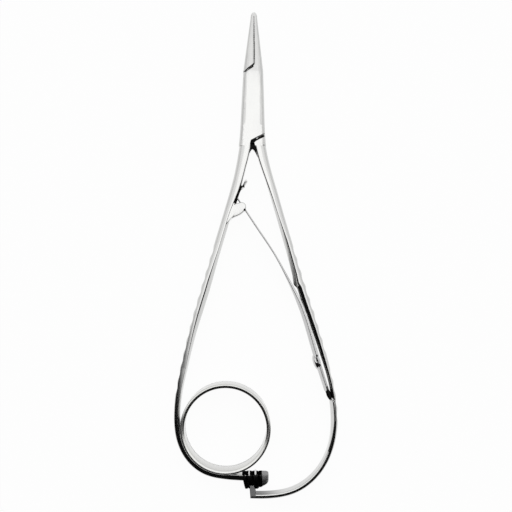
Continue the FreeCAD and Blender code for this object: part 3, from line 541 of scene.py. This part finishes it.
# Half outlines from the inner middle over the top to the outer middle. Across: -1 inner face, 0 outer. Up: 1 top.
outlines = {
    "root": [(-1, 0), (-1, .55), (-1, .87), (-.93, .975), (-.80, 1), (-.56, 1), (-.30, .93), (-.06, .66), (0, 0)],
    "mid": [(-1, 0), (-1, .18), (-1, .30), (-.76, .955), (-.70, 1), (-.50, .985), (-.22, .86), (-.03, .60), (0, 0)],
    "grip": [(-1, 0), (-1, .12), (-1, .26), (-.68, .92), (-.52, 1), (-.36, .985), (-.18, .88), (-.02, .62), (0, 0)],
    "belly": [(-1, 0), (-1, .26), (-1, .46), (-.84, .95), (-.80, 1), (-.55, .955), (-.28, .875), (-.03, .76), (0, 0)],
    "recess": [(-1, 0), (-1, .40), (-1, .77), (-.60, .965), (-.48, 1), (-.34, .985), (-.16, .87), (0, .60), (0, 0)],
    "wrap": [(-1, 0), (-1, .55), (-1, .95), (-.97, 1), (-.76, .965), (-.50, .90), (-.24, .82), (0, .70), (0, 0)],
    "low": [(-1, 0), (-1, .50), (-1, .86), (-.90, .98), (-.62, 1), (-.40, .96), (-.18, .88), (0, .72), (0, 0)],
}
kinds = list(outlines)
halfOutlines = np.array([outlines[kind] for kind in kinds], float)

arms = {
    "spacing": 0.16,
    "samples": 5,
    "hollowTop": 0.90,
    "hollowPitch": 3.88,
    "hollowDepth": 0.38,
    "hollowRadius": 4.40,
    "softness": 0.05,
    "leftHollows": (11, ()),        # how many, and which are left out
    "rightHollows": (13, (8,)),
    "ringFrom": -45.0,              # no extra width below this y, where the left arm goes round the ring
    "rightSpan": (-47.3, 11.5),     # the right arm's own widths hold between these y
    "recessTop": -8.3,              # it is cut back between these y, less so within a run of each
    "recessEnd": -41.3,
    "recessRun": (0.9, 0.2),
}
# Widths against -y: the left arm's extra width, the right arm's own, and the right arm's where it is cut back
leftWider = ([-33.0, -31.0, -26.0, -19.0, -13.0, 0.6, 10.0, 15.6, 21.3, 28.0],
             [.10, .35, .25, .45, .15, .25, .45, .35, .10, 0])
rightFull = ([-11.5, -1.7, 2.9, 5.2, 7.7, 8.4, 42.0, 47.3], [2.28, 2.40, 2.60, 2.75, 3.15, 3.2, 2.0, 1.95])
rightCut = ([8.3, 12.1, 15.6, 21.3, 28.3, 32.9, 41.3], [2.52, 2.46, 2.42, 2.02, 1.80, 1.52, 1.30])


# Depth of the grip hollows along an arm: each is a circle's arc, depth less (radius - root(radius^2 - distance^2)).
def hollowDepth(along, heights, count, plain):
    depth = np.zeros(len(along))
    for index in range(count):
        if index in plain:
            continue
        here = along[np.argmin(np.abs(heights - (arms["hollowTop"] - index * arms["hollowPitch"])))]
        apart = np.clip(np.abs(along - here), 0, arms["hollowRadius"])
        sag = arms["hollowRadius"] - np.sqrt(arms["hollowRadius"] ** 2 - apart ** 2)
        depth = np.maximum(depth, arms["hollowDepth"] - sag)
    return depth


# The right arm widens inwards towards the spring and is cut back beside it: the width there, and how far it is cut.
def rightThickness(y):
    topRun, endRun = arms["recessRun"]
    beside = ramp(-y, -arms["recessTop"] - topRun, -arms["recessTop"] + topRun)
    beside = beside * (1 - ramp(-y, -arms["recessEnd"] - endRun, -arms["recessEnd"] + endRun))
    return np.interp(-y, *rightFull) * (1 - beside) + np.interp(-y, *rightCut) * beside, beside


# An arm: the outline goes from one kind to the next along the path, the hollows flatten what lies beyond them.
# Rows of table are x, y of the middle of the thickness, thickness, height and the outline's kind.
def armRows(table, side, hollows, cutBack=False, wider=None):
    numbers = [row[:4] + tuple(float(row[4] == kind) for kind in kinds) for row in table]
    place, across, along, (thick, tall, *shares) = planPath(numbers, arms["spacing"], side)
    outer = place + across * (thick / 2)[:, None]
    shares = np.array(shares)
    y = place[:, 1]
    if cutBack:
        wide, share = rightThickness(y)
        straight = (y < arms["rightSpan"][1]) & (y > arms["rightSpan"][0])
        thick = np.where(straight, wide, thick)
        share = np.where(straight, share, 0)
        shares = shares * (1 - share)
        shares[kinds.index("recess")] += share
    if wider:
        thick = thick + np.interp(-y, *wider) * (along < along[np.argmin(y > arms["ringFrom"])])
    half = np.einsum("kn,kpc->npc", shares, halfOutlines)
    control = mirroredHalf(half) * np.stack([thick, tall / 2], axis=1)[:, None, :]
    loop = roundedLoop(control, arms["samples"])
    limit = -hollowDepth(along, y, *hollows)[:, None]
    offset = softMin(loop[..., 0], limit + arms["softness"] / 2, arms["softness"])
    return placed(outer, across, offset, loop[..., 1])


leftTable = [
    (leaning(-2.10, 32.60), 32.60, 3.02, 4.98, "root"),
    (leaning(-2.28, 31.60), 31.60, 3.02, 4.98, "root"),
    (leaning(-2.75, 28.80), 28.80, 2.90, 4.95, "root"),
    (-5.42, 21.90, 2.40, 4.90, "root"),
    (-8.50, 11.50, 2.15, 4.90, "mid"),
    (-11.38, 2.00, 2.15, 5.30, "mid"),
    (-14.08, -7.00, 2.15, 5.70, "grip"),
    (-16.81, -16.20, 2.15, 6.00, "grip"),
    (-20.72, -32.00, 2.10, 6.00, "belly"),
    (-22.74, -45.60, 1.70, 6.00, "belly"),
]
for degrees, thick in ((200.0, 1.60), (222.7, 1.65), (245.3, 1.70), (268.0, 1.75)):     # round the ring, 0.15 into it
    reach = tool["ringRadius"] - 0.15 + thick / 2
    leftTable.append((tool["ringCentre"][0] + reach * math.cos(math.radians(degrees)),
                      tool["ringCentre"][1] + reach * math.sin(math.radians(degrees)), thick, 5.40, "wrap"))
leftTable.append((-2.90, -63.55, 1.90, 5.20, "wrap"))

rightTable = [
    (leaning(2.16, 32.60), 32.60, 3.10, 4.98, "root"),
    (leaning(2.37, 31.60), 31.60, 3.10, 4.98, "root"),
    (leaning(3.00, 28.80), 28.80, 2.94, 4.95, "root"),
    (3.95, 21.90, 2.40, 4.90, "root"),
    (6.99, 11.50, 2.28, 4.90, "mid"),
    (9.05, 4.50, 2.30, 5.30, "grip"),
    (15.37, -16.20, 2.58, 6.00, "grip"),
    (20.31, -32.00, 1.80, 6.00, "grip"),
    (22.53, -47.30, 1.95, 6.00, "grip"),
]
# The lower curve is a quarter of an oval: cos and sin of the turn to a power, times its half width and height
lowCurve = {"centre": (3.40, -47.30), "wide": 19.13, "tall": 21.57, "power": 0.94}
for degrees in (22.5, 45.0, 67.5, 90.0):
    turned = math.radians(degrees)
    rightTable.append((lowCurve["centre"][0] + lowCurve["wide"] * max(math.cos(turned), 0.0) ** lowCurve["power"],
                       lowCurve["centre"][1] - lowCurve["tall"] * math.sin(turned) ** lowCurve["power"],
                       1.45, 4.20, "low"))
rightTable.append((-1.62, -68.87, 1.40, 4.20, "low"))

piece("leftArm", [ringMesh("leftArm", armRows(leftTable, 1, arms["leftHollows"], wider=leftWider))],
      "female", forgedSteel)
piece("rightArm", [ringMesh("rightArm", armRows(rightTable, -1, arms["rightHollows"], True))],
      "male", forgedSteel)
print("arms made")


# Finger ring: a band with rounded rims, turned about its axis

fingerRing = {
    "wall": 1.18, "width": 6.50, "outerEdge": 0.42, "innerEdge": 0.76, "rise": 0.30,
    "stations": 220, "arc": 9,
}


# Band section: each corner is its centre plus (edge cos, rise sin) over a quarter turn, the inner edge the wider.
def bandOutline():
    wall, width, rise = fingerRing["wall"] / 2, fingerRing["width"] / 2, fingerRing["rise"]
    turn = np.linspace(0, math.pi / 2, fingerRing["arc"])
    angles = (np.arange(4)[:, None] * math.pi / 2 + turn[None, :]).ravel()
    signs = np.array([(1, 1), (-1, 1), (-1, -1), (1, -1)]).repeat(fingerRing["arc"], axis=0)
    edge = np.where(signs[:, 0] > 0, fingerRing["outerEdge"], fingerRing["innerEdge"])
    radial = signs[:, 0] * (wall - edge) + edge * np.cos(angles)
    height = signs[:, 1] * (width - rise) + rise * np.sin(angles)
    return radial, height


# The section stands on a circle through the wall's middle, its radial part along the radius.
def bandRows():
    radial, height = bandOutline()
    turn = np.linspace(0, 2 * math.pi, fingerRing["stations"], endpoint=False)
    outward = np.stack([np.cos(turn), np.sin(turn)], axis=1)
    middle = np.array(tool["ringCentre"]) + outward * (tool["ringRadius"] - fingerRing["wall"] / 2)
    return placed(middle, outward, np.tile(radial, (len(turn), 1)), np.tile(height, (len(turn), 1)))


piece("fingerRing", [ringMesh("fingerRing", bandRows(), looped=True)], "female", ringSteel, 50,
      ("finger_ring",))
print("ring made")


# Rack at the left arm's end: a bar with a flat upper side and a round underside, grooved across

rack = {
    "left": -4.00, "right": 3.60, "top": -62.45, "depth": 4.50, "endDepth": 3.00, "flatTo": 0.00, "half": 2.70,
    "shear": 0.80, "groove": -2.90, "pitch": 1.80, "count": 3, "deep": 0.30, "grooveHalf": 0.36, "topShare": 0.25,
    "collar": 1.75, "collarLess": 0.12, "overlap": 0.02, "leftRound": 0.40, "rightRound": 1.10, "samples": 6,
    "corners": [((-1.99, -62.64), 0.26, 2.78, 0.24), ((-0.17, -62.42), 0.28, 2.80, 0.26)],      # two plugs of the brighter steel on the teeth's crests, painted glints
}
# Half outline of the rack by height: drop is 0 at the upper side and 1 at the lowest line.
rackHalf = np.array([(0, 0), (0, .55), (0, .97), (.08, 1.0), (.55, .95), (.98, .45), (1.04, 0)], float)


# The section along x, drop times depth and height times half. Both are less in the grooves, each a V as deep as
# deep (1 - distance / grooveHalf), in the collar, and at the ends, round by 1 - root(1 - t^2).
def rackRows(low, high, count):
    x = np.linspace(low, high, count)
    depth = np.interp(x, [rack["flatTo"], rack["right"]], [rack["depth"], rack["endDepth"]])
    roots = rack["groove"] + rack["pitch"] * np.arange(rack["count"])
    apart = np.min(np.abs(x[:, None] - roots[None, :]), axis=1)
    less = rack["deep"] * np.clip(1 - apart / rack["grooveHalf"], 0, 1)
    less = np.where(x > rack["collar"], rack["collarLess"], less)
    left = np.clip(1 - (x - rack["left"]) / rack["leftRound"], 0, 1)
    right = np.clip(1 - (rack["right"] - x) / rack["rightRound"], 0, 1)
    less = less + rack["leftRound"] * (1 - np.sqrt(1 - left ** 2))
    less = less + rack["rightRound"] * (1 - np.sqrt(1 - right ** 2))
    shear = np.interp(x, [rack["left"], rack["right"]], [rack["shear"], 0.0])
    loop = roundedLoop(np.tile(mirroredHalf(rackHalf)[None], (len(x), 1, 1)), rack["samples"])
    drop = loop[..., 0] * (depth - less)[:, None] + rack["topShare"] * less[:, None]
    return np.stack([x[:, None] + shear[:, None] * loop[..., 0], rack["top"] - drop,
                     tool["middleZ"] + loop[..., 1] * (rack["half"] - less)[:, None]], axis=-1)


piece("rack", [ringMesh("rack", rackRows(rack["left"], rack["collar"] + rack["overlap"], 120))],
      "female", shadedToothSteel, 30)
# Painted glints: two small plugs of the brighter steel on the near-black rack's crests
piece("toothCorners", [ringMesh("corner", plugRows(*corner)) for corner in rack["corners"]],
      "female", forgedSteel, 60)
piece("rackCollar", [ringMesh("rackCollar", rackRows(rack["collar"] - rack["overlap"], rack["right"], 40))],
      "female", shadedCollarSteel, 30)


# Pawl: a post on the lower curve's end, hollowed to the rack's underside

pawl = {
    "x": -0.80, "low": -68.80, "reach": 3.70, "root": 0.85, "waist": 0.92, "tip": 0.45, "lean": 0.45, "tall": 2.10,
    "gap": 0.12, "hollow": 0.9, "samples": 4,
    "section": [(-1, 0), (-1, .6), (-1, .97), (-.9, 1), (0, 1), (.9, 1), (1, .97), (1, .6), (1, 0)],
}


# A rounded square section climbs from the root, narrower and leaning as it goes. Its y stops a gap below the rack,
# whose underside is depth times the root of 1 - (z / half)^2, to the power hollow.
def pawlRows():
    rise = np.linspace(0, 1, 40)
    half = np.interp(rise, [0, 0.5, 1], [pawl["root"], pawl["root"] * pawl["waist"], pawl["tip"]])
    middleX = pawl["x"] - pawl["lean"] * rise
    section = mirroredHalf(np.array(pawl["section"], float))
    loop = roundedLoop(np.tile(section[None], (len(rise), 1, 1)), pawl["samples"])
    x = middleX[:, None] + loop[..., 0] * half[:, None]
    z = loop[..., 1] * pawl["tall"]
    share = np.sqrt(np.clip(1 - (z / (rack["half"] + pawl["gap"])) ** 2, 0, 1))
    under = rack["top"] - rack["depth"] * share ** pawl["hollow"] - pawl["gap"]
    y = np.minimum(pawl["low"] + pawl["reach"] * rise[:, None] + 0 * x, under)
    return np.stack([x, y, z + tool["middleZ"]], axis=-1)


piece("pawl", [ringMesh("pawl", pawlRows())], "male", shadedCollarSteel, 30)
print("rack and pawl made")


# Leaf spring: a strip on edge, from the recess in the right arm across to the lug, with a bent hook

leaf = {
    "cross": (5.30, 0.60), "eye": (-3.90, 14.50), "beyondEye": 2.70,    # it runs straight from cross through the eye
    "hook": 5.40, "hookAngle": 62.0, "roll": 0.36, "rollHalf": 1.6,
    "spacing": 0.2, "samples": 4,
}

# Half outlines from the inner middle over the top to the outer middle, across -1 to 1: a free strip, the facet and
# narrow flat where it is held, and a round top.
stripKinds = {
    "free": [(-1, 0), (-1, .40), (-1, .74), (-.82, .94), (-.35, 1), (.35, 1), (.82, .94), (1, .74), (1, 0)],
    "held": [(-1, 0), (-1, .22), (-1, .40), (-.12, .93), (.04, 1), (.35, 1), (.92, 1), (1, .97), (1, 0)],
    "round": [(-1, 0), (-1, .40), (-1, .62), (-.7, .84), (-.2, 1), (.2, 1), (.7, .84), (1, .62), (1, 0)],
}
stripOutlines = np.array(list(stripKinds.values()), float)


# A strip along a path. Rows of table are x, y, thickness, height and kind, 0 free to 1 held to 2 round, and between
# two kinds the outline is a blend of both.
def stripRows(table, spacing=leaf["spacing"]):
    place, across, along, (thick, tall, kind) = planPath(table, spacing, 1)
    shares = np.clip(1 - np.abs(kind[:, None] - np.arange(len(stripOutlines))), 0, 1)
    half = np.einsum("nk,kpc->npc", shares, stripOutlines)
    loop = roundedLoop(mirroredHalf(half), leaf["samples"]) * np.stack([thick / 2, tall / 2], axis=1)[:, None, :]
    return placed(place, across, loop[..., 0], loop[..., 1])


eye, cross = np.array(leaf["eye"]), np.array(leaf["cross"])
run = (eye - cross) / np.linalg.norm(eye - cross)
bend = eye + run * leaf["beyondEye"]
hookTurn = math.radians(leaf["hookAngle"])
hookEnd = bend + np.array([math.cos(hookTurn), math.sin(hookTurn)]) * leaf["hook"]
leafTable = [
    (20.30, -38.60, 1.25, 4.6, 1), (19.95, -37.40, 1.35, 5.0, 1), (18.85, -33.90, 1.40, 5.0, 1),
    (17.55, -29.60, 1.50, 5.0, 1), (15.97, -24.00, 1.60, 4.8, 1), (14.32, -18.40, 1.60, 4.6, 1),
    (12.35, -13.10, 1.40, 4.3, 1), (10.00, -8.20, .85, 4.0, .5), (7.70, -3.70, .58, 3.6, 0), (*cross, .50, 3.2, 0),
    (*((cross + eye) / 2), .50, 3.2, 0), (*eye, .50, 3.2, 0), (*(bend - run * 0.1), .40, 3.2, 0),
]
hookTable = [(-4.25, 19.30, .50, 3.4, 2), (-3.45, 20.42, .66, 3.4, 2), (*hookEnd, .70, 3.2, 2)]

leafPiece = piece("leafSpring", [
    ringMesh("strip", stripRows(leafTable)),
    ringMesh("hook", stripRows(hookTable)),
    ringMesh("roll", plugRows(hookEnd, leaf["roll"], leaf["rollHalf"], 0.10)),
], None, springSteel, 40, ("leaf_spring",))
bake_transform(leafPiece)
print("leaf spring made")


# Screw that holds the strip

screw = {
    "place": (17.95, -30.35), "inward": (-0.955, -0.296), "radius": 2.15, "head": 1.55, "rim": 0.80,
    "shank": 0.8, "sunk": 0.4, "bow": 1.25,
}


# Circles about the inward line: the shank's end and top, the head's underside, then a dome over the rim, its radius
# by the cosine and its height by the sine of the bow's angle, closed at the tip.
def screwRows():
    upward = np.array([0.0, 0.0, 1.0])
    inward = np.array([*screw["inward"], 0.0])
    inward /= np.linalg.norm(inward)
    side = np.cross(upward, inward)
    bow = np.linspace(0, 1, 9) * screw["bow"]
    domed = screw["head"] - screw["rim"]
    radii = np.concatenate([[screw["shank"], screw["shank"], screw["radius"]], screw["radius"] * np.cos(bow), [0.02]])
    heights = np.concatenate([[-screw["sunk"], 0.0, 0.0], screw["rim"] + domed * np.sin(bow) / math.sin(screw["bow"]),
                              [screw["head"] + 0.02]])
    turn = np.linspace(0, 2 * math.pi, 48, endpoint=False)
    centre = np.array([*screw["place"], tool["middleZ"]])
    ringOut = side[None, :] * np.cos(turn)[:, None] + upward[None, :] * np.sin(turn)[:, None]
    return centre + inward * heights[:, None, None] + radii[:, None, None] * ringOut[None]


piece("springScrew", [ringMesh("screw", screwRows())], "male", screwSteel, 40, ("spring_screw",))


# Lug that guides the strip: a flat tab on the left arm, its plan drawn through these corners

lug = {
    "plan": [(-8.9, 8.4), (-7.45, 10.35), (-6.75, 10.95), (-5.85, 11.30), (-4.35, 11.95), (-3.30, 13.05),
             (-2.80, 13.95), (-2.95, 14.85), (-3.80, 15.45), (-4.60, 15.30), (-5.5, 14.9), (-7.0, 15.6),
             (-7.9, 13.0), (-9.0, 10.0)],
    "half": 2.32, "edge": 0.22, "samples": 6,
    # Painted shade: dark strips and plugs for the shade in the slot beside the strip, at the strip's mouth at the
    # tab's nose and at the bend behind it
    "slot": [(-6.08, 14.70, .40, 5.00, 0), (-5.45, 16.70, .40, 5.00, 0), (-4.70, 18.90, .40, 5.00, 0),
             (-4.02, 20.05, .40, 5.00, 0)],
    "mouth": ((-3.24, 13.30), 0.30, 2.36, 0.08),
    "bend": ((-3.62, 20.05), 0.30, 1.80, 0.08),
}


# The plan, shrunk towards its middle by the rounded side's inset at each of its levels.
def lugRows():
    plan = roundedLoop(np.array([lug["plan"]], float), lug["samples"])[0]
    middle = plan.mean(axis=0)
    inset, level = roundedSide(lug["half"], lug["edge"])
    away = np.linalg.norm(plan - middle, axis=1)
    rows = middle + (plan - middle) * (1 - inset[:, None] / away)[..., None]
    z = np.broadcast_to((level + tool["middleZ"])[:, None, None], (*rows.shape[:2], 1))
    return np.concatenate([rows, z], axis=-1)


piece("lug", [ringMesh("lug", lugRows())], "female", forgedSteel, 35)
piece("lugSlot", [
    ringMesh("lugSlot", stripRows(lug["slot"])),
    ringMesh("lugMouth", plugRows(*lug["mouth"])),
    ringMesh("hookSpot", plugRows(*lug["bend"])),
], "female", paintedShadeSteel, 40)


# Painted shade of the open joint lines: dark strips where the cheek's lower shoulder meets the arm's root, and at the
# upper shoulder

joints = {
    "lower": [(-1.30, 32.18, .60, 5.12, 0), (-0.20, 32.98, .68, 5.16, 0), (0.90, 33.64, .76, 5.18, 0),
              (1.55, 34.03, .80, 5.16, 0), (2.00, 34.31, .74, 5.00, 0), (2.32, 34.52, .60, 4.50, 0)],
    "upper": [(-3.05, 52.66, .30, 4.86, 0), (-1.90, 53.45, .46, 5.02, 0), (-0.74, 54.25, .52, 5.06, 0)],
}
piece("jointLine", [
    ringMesh("jointLine", stripRows(joints["lower"])),
    ringMesh("shoulderLine", stripRows(joints["upper"])),
], "female", paintedShadeSteel, 40)


# Painted shade: dark strips and plugs at the recess's end below the strip, and in the gap round the screw's head

recess = {
    "end": [(20.45, -38.20, .70, 5.6, 0), (20.75, -39.20, 1.20, 5.9, 0), (21.10, -40.40, 1.20, 5.9, 0),
            (21.25, -40.90, .70, 5.9, 0)],
    "screwLine": [(17.40, -28.50, .34, 5.14, 0), (17.38, -29.60, .30, 5.14, 0), (17.42, -30.20, .30, 5.10, 0)],
    "screwUpper": ((17.42, -28.50), 0.288, 2.60, 0.08),
    "screwLower": ((18.05, -31.20), 0.45, 2.60, 0.08),
}
piece("recessEnd", [
    ringMesh("recessEnd", stripRows(recess["end"])),
    ringMesh("screwUpper", plugRows(*recess["screwUpper"])),
    ringMesh("screwLower", plugRows(*recess["screwLower"])),
    ringMesh("screwLine", stripRows(recess["screwLine"], 0.1)),
], "male", paintedShadeSteel, 40)
print("lug and dark marks made")


# Web: a dark sheet of painted shade at the bottom of the crotch between the two arms

web = {
    "top": 34.0, "low": 28.2, "half": 1.55, "notch": 2.7, "power": 1.8, "reach": 1.40, "turnOut": 0.30, "samples": 4,
    "section": [(0, 0), (0, .7), (0, .95), (.05, 1), (.5, 1), (.95, 1), (1, .95), (1, .7), (1, 0)],
}


# Its lower edge is an arch: low + notch (1 - |share|^power) over the share of the half width. The section stands on
# it, up to the top.
def webRows():
    share = np.linspace(-1, 1, 40)
    foot = web["low"] + web["notch"] * (1 - np.abs(share) ** web["power"])
    x = leaning(0.0, foot) + share * web["reach"] + share ** 2 * web["turnOut"]
    section = mirroredHalf(np.array(web["section"], float))
    loop = roundedLoop(np.tile(section[None], (len(share), 1, 1)), web["samples"])
    y = foot[:, None] + loop[..., 0] * (web["top"] - foot)[:, None]
    return np.stack([x[:, None] + 0 * y, y, tool["middleZ"] + loop[..., 1] * web["half"]], axis=-1)


piece("web", [ringMesh("web", webRows())], "female", paintedShadeSteel, 35)
print("web made")


# Floor, light and camera

studio = {
    "span": 147.7, "distance": 250.0, "sensor": 36.0,
    "floor": 600.0, "floorColour": (0.90, 0.90, 0.90, 1.0), "floorGlow": 0.96,
    "zenith": 1.52, "upper": 1.14, "side": 0.80, "dark": 0.005,         # strengths, from overhead down
    "upperFrom": (0.05, 0.75), "zenithFrom": (0.90, 0.975),             # heights over which these two fade in
    "steep": 1.30, "turn": 0.10, "rise": 0.255,                         # where the dark begins: by y, x, height^2
    "edge": 0.08, "width": 0.14, "narrowing": 0.08,                     # and how soft its edge is
}
softbox = {"wide": 0.5, "deep": 0.3, "energy": 0.4, "place": (0.0, 0.42, 0.50), "tilt": -40.0}


# Matt, and seen as plain white by the camera and in reflections.
def floorMaterial():
    material = bpy.data.materials.new("paleFloor")
    material.use_nodes = True
    tree = material.node_tree
    tree.nodes.clear()
    matt = node(tree, "ShaderNodeBsdfDiffuse")
    feed(tree, matt.inputs["Color"], studio["floorColour"])
    glow = node(tree, "ShaderNodeEmission")
    path = node(tree, "ShaderNodeLightPath")
    seen = mathNode(tree, "MAXIMUM", path.outputs["Is Camera Ray"], path.outputs["Is Glossy Ray"])
    seen = mathNode(tree, "MAXIMUM", seen, path.outputs["Is Transmission Ray"])
    mix = node(tree, "ShaderNodeMixShader")
    feed(tree, mix.inputs["Fac"], mathNode(tree, "MULTIPLY", seen, studio["floorGlow"]))
    feed(tree, mix.inputs[1], matt.outputs[0])
    feed(tree, mix.inputs[2], glow.outputs[0])
    out = node(tree, "ShaderNodeOutputMaterial")
    feed(tree, out.inputs["Surface"], mix.outputs[0])
    return material


# The studio's surroundings: pale towards the jaws, dark low down towards the ring, brightest overhead.
def studioWorld():
    world = bpy.data.worlds.new("studio")
    bpy.context.scene.world = world
    world.use_nodes = True
    tree = world.node_tree
    where = node(tree, "ShaderNodeTexCoord")
    parts = node(tree, "ShaderNodeSeparateXYZ")
    feed(tree, parts.inputs[0], where.outputs["Generated"])
    x, y, z = parts.outputs["X"], parts.outputs["Y"], parts.outputs["Z"]
    height = mathNode(tree, "MAXIMUM", z, 0.0)
    overhead = mathNode(tree, "MULTIPLY", height, height)
    towards = mathNode(tree, "MULTIPLY", y, studio["steep"])
    towards = mathNode(tree, "ADD", towards, mathNode(tree, "MULTIPLY", x, studio["turn"]))
    towards = mathNode(tree, "ADD", towards, mathNode(tree, "MULTIPLY", overhead, studio["rise"]))
    width = mathNode(tree, "SUBTRACT", studio["width"], mathNode(tree, "MULTIPLY", height, studio["narrowing"]))
    past = mathNode(tree, "SUBTRACT", towards, studio["edge"])
    lit = stepNode(tree, mathNode(tree, "DIVIDE", past, width), -1.0, 1.0)
    glow = mathNode(tree, "MULTIPLY", stepNode(tree, z, *studio["upperFrom"]), studio["upper"] - studio["side"])
    core = mathNode(tree, "MULTIPLY", stepNode(tree, z, *studio["zenithFrom"]), studio["zenith"] - studio["upper"])
    level = mathNode(tree, "ADD", mathNode(tree, "ADD", glow, core), studio["side"])
    level = mathNode(tree, "ADD", mathNode(tree, "MULTIPLY", level, lit), studio["dark"])
    path = node(tree, "ShaderNodeLightPath")
    background = tree.nodes["Background"]
    feed(tree, background.inputs["Color"], (1.0, 1.0, 1.0, 1.0))
    feed(tree, background.inputs["Strength"], mixNode(tree, "FLOAT", path.outputs["Is Camera Ray"], level, 1.0))


half = studio["floor"] / 2
floorCorners = np.array([(-half, -half, 0), (half, -half, 0), (half, half, 0), (-half, half, 0)])
floorMesh = makeMesh("floor", floorCorners, np.array([[0, 1, 2, 3]]))
floorMesh.materials.append(floorMaterial())
floor = bpy.data.objects.new("floor", floorMesh)
bpy.context.scene.collection.objects.link(floor)
studioWorld()

lampData = bpy.data.lights.new("softbox", "AREA")
lampData.shape = "RECTANGLE"
lampData.size = softbox["wide"]
lampData.size_y = softbox["deep"]
lampData.energy = softbox["energy"]
lamp = bpy.data.objects.new("softbox", lampData)
lamp.location = softbox["place"]
lamp.rotation_euler = (math.radians(softbox["tilt"]), 0, 0)
lamp.visible_glossy = False     # it only softens the floor
bpy.context.scene.collection.objects.link(lamp)

cameraData = bpy.data.cameras.new("camera")
cameraData.sensor_width = studio["sensor"]
cameraData.lens = studio["sensor"] * studio["distance"] / studio["span"]
cameraData.clip_start = 0.01
camera = bpy.data.objects.new("camera", cameraData)
camera.location = (0.0, 0.0, (studio["distance"] + tool["middleZ"]) * mm)
bpy.context.scene.collection.objects.link(camera)
bpy.context.scene.camera = camera
bpy.context.scene.view_settings.view_transform = "Standard"
print("studio made")
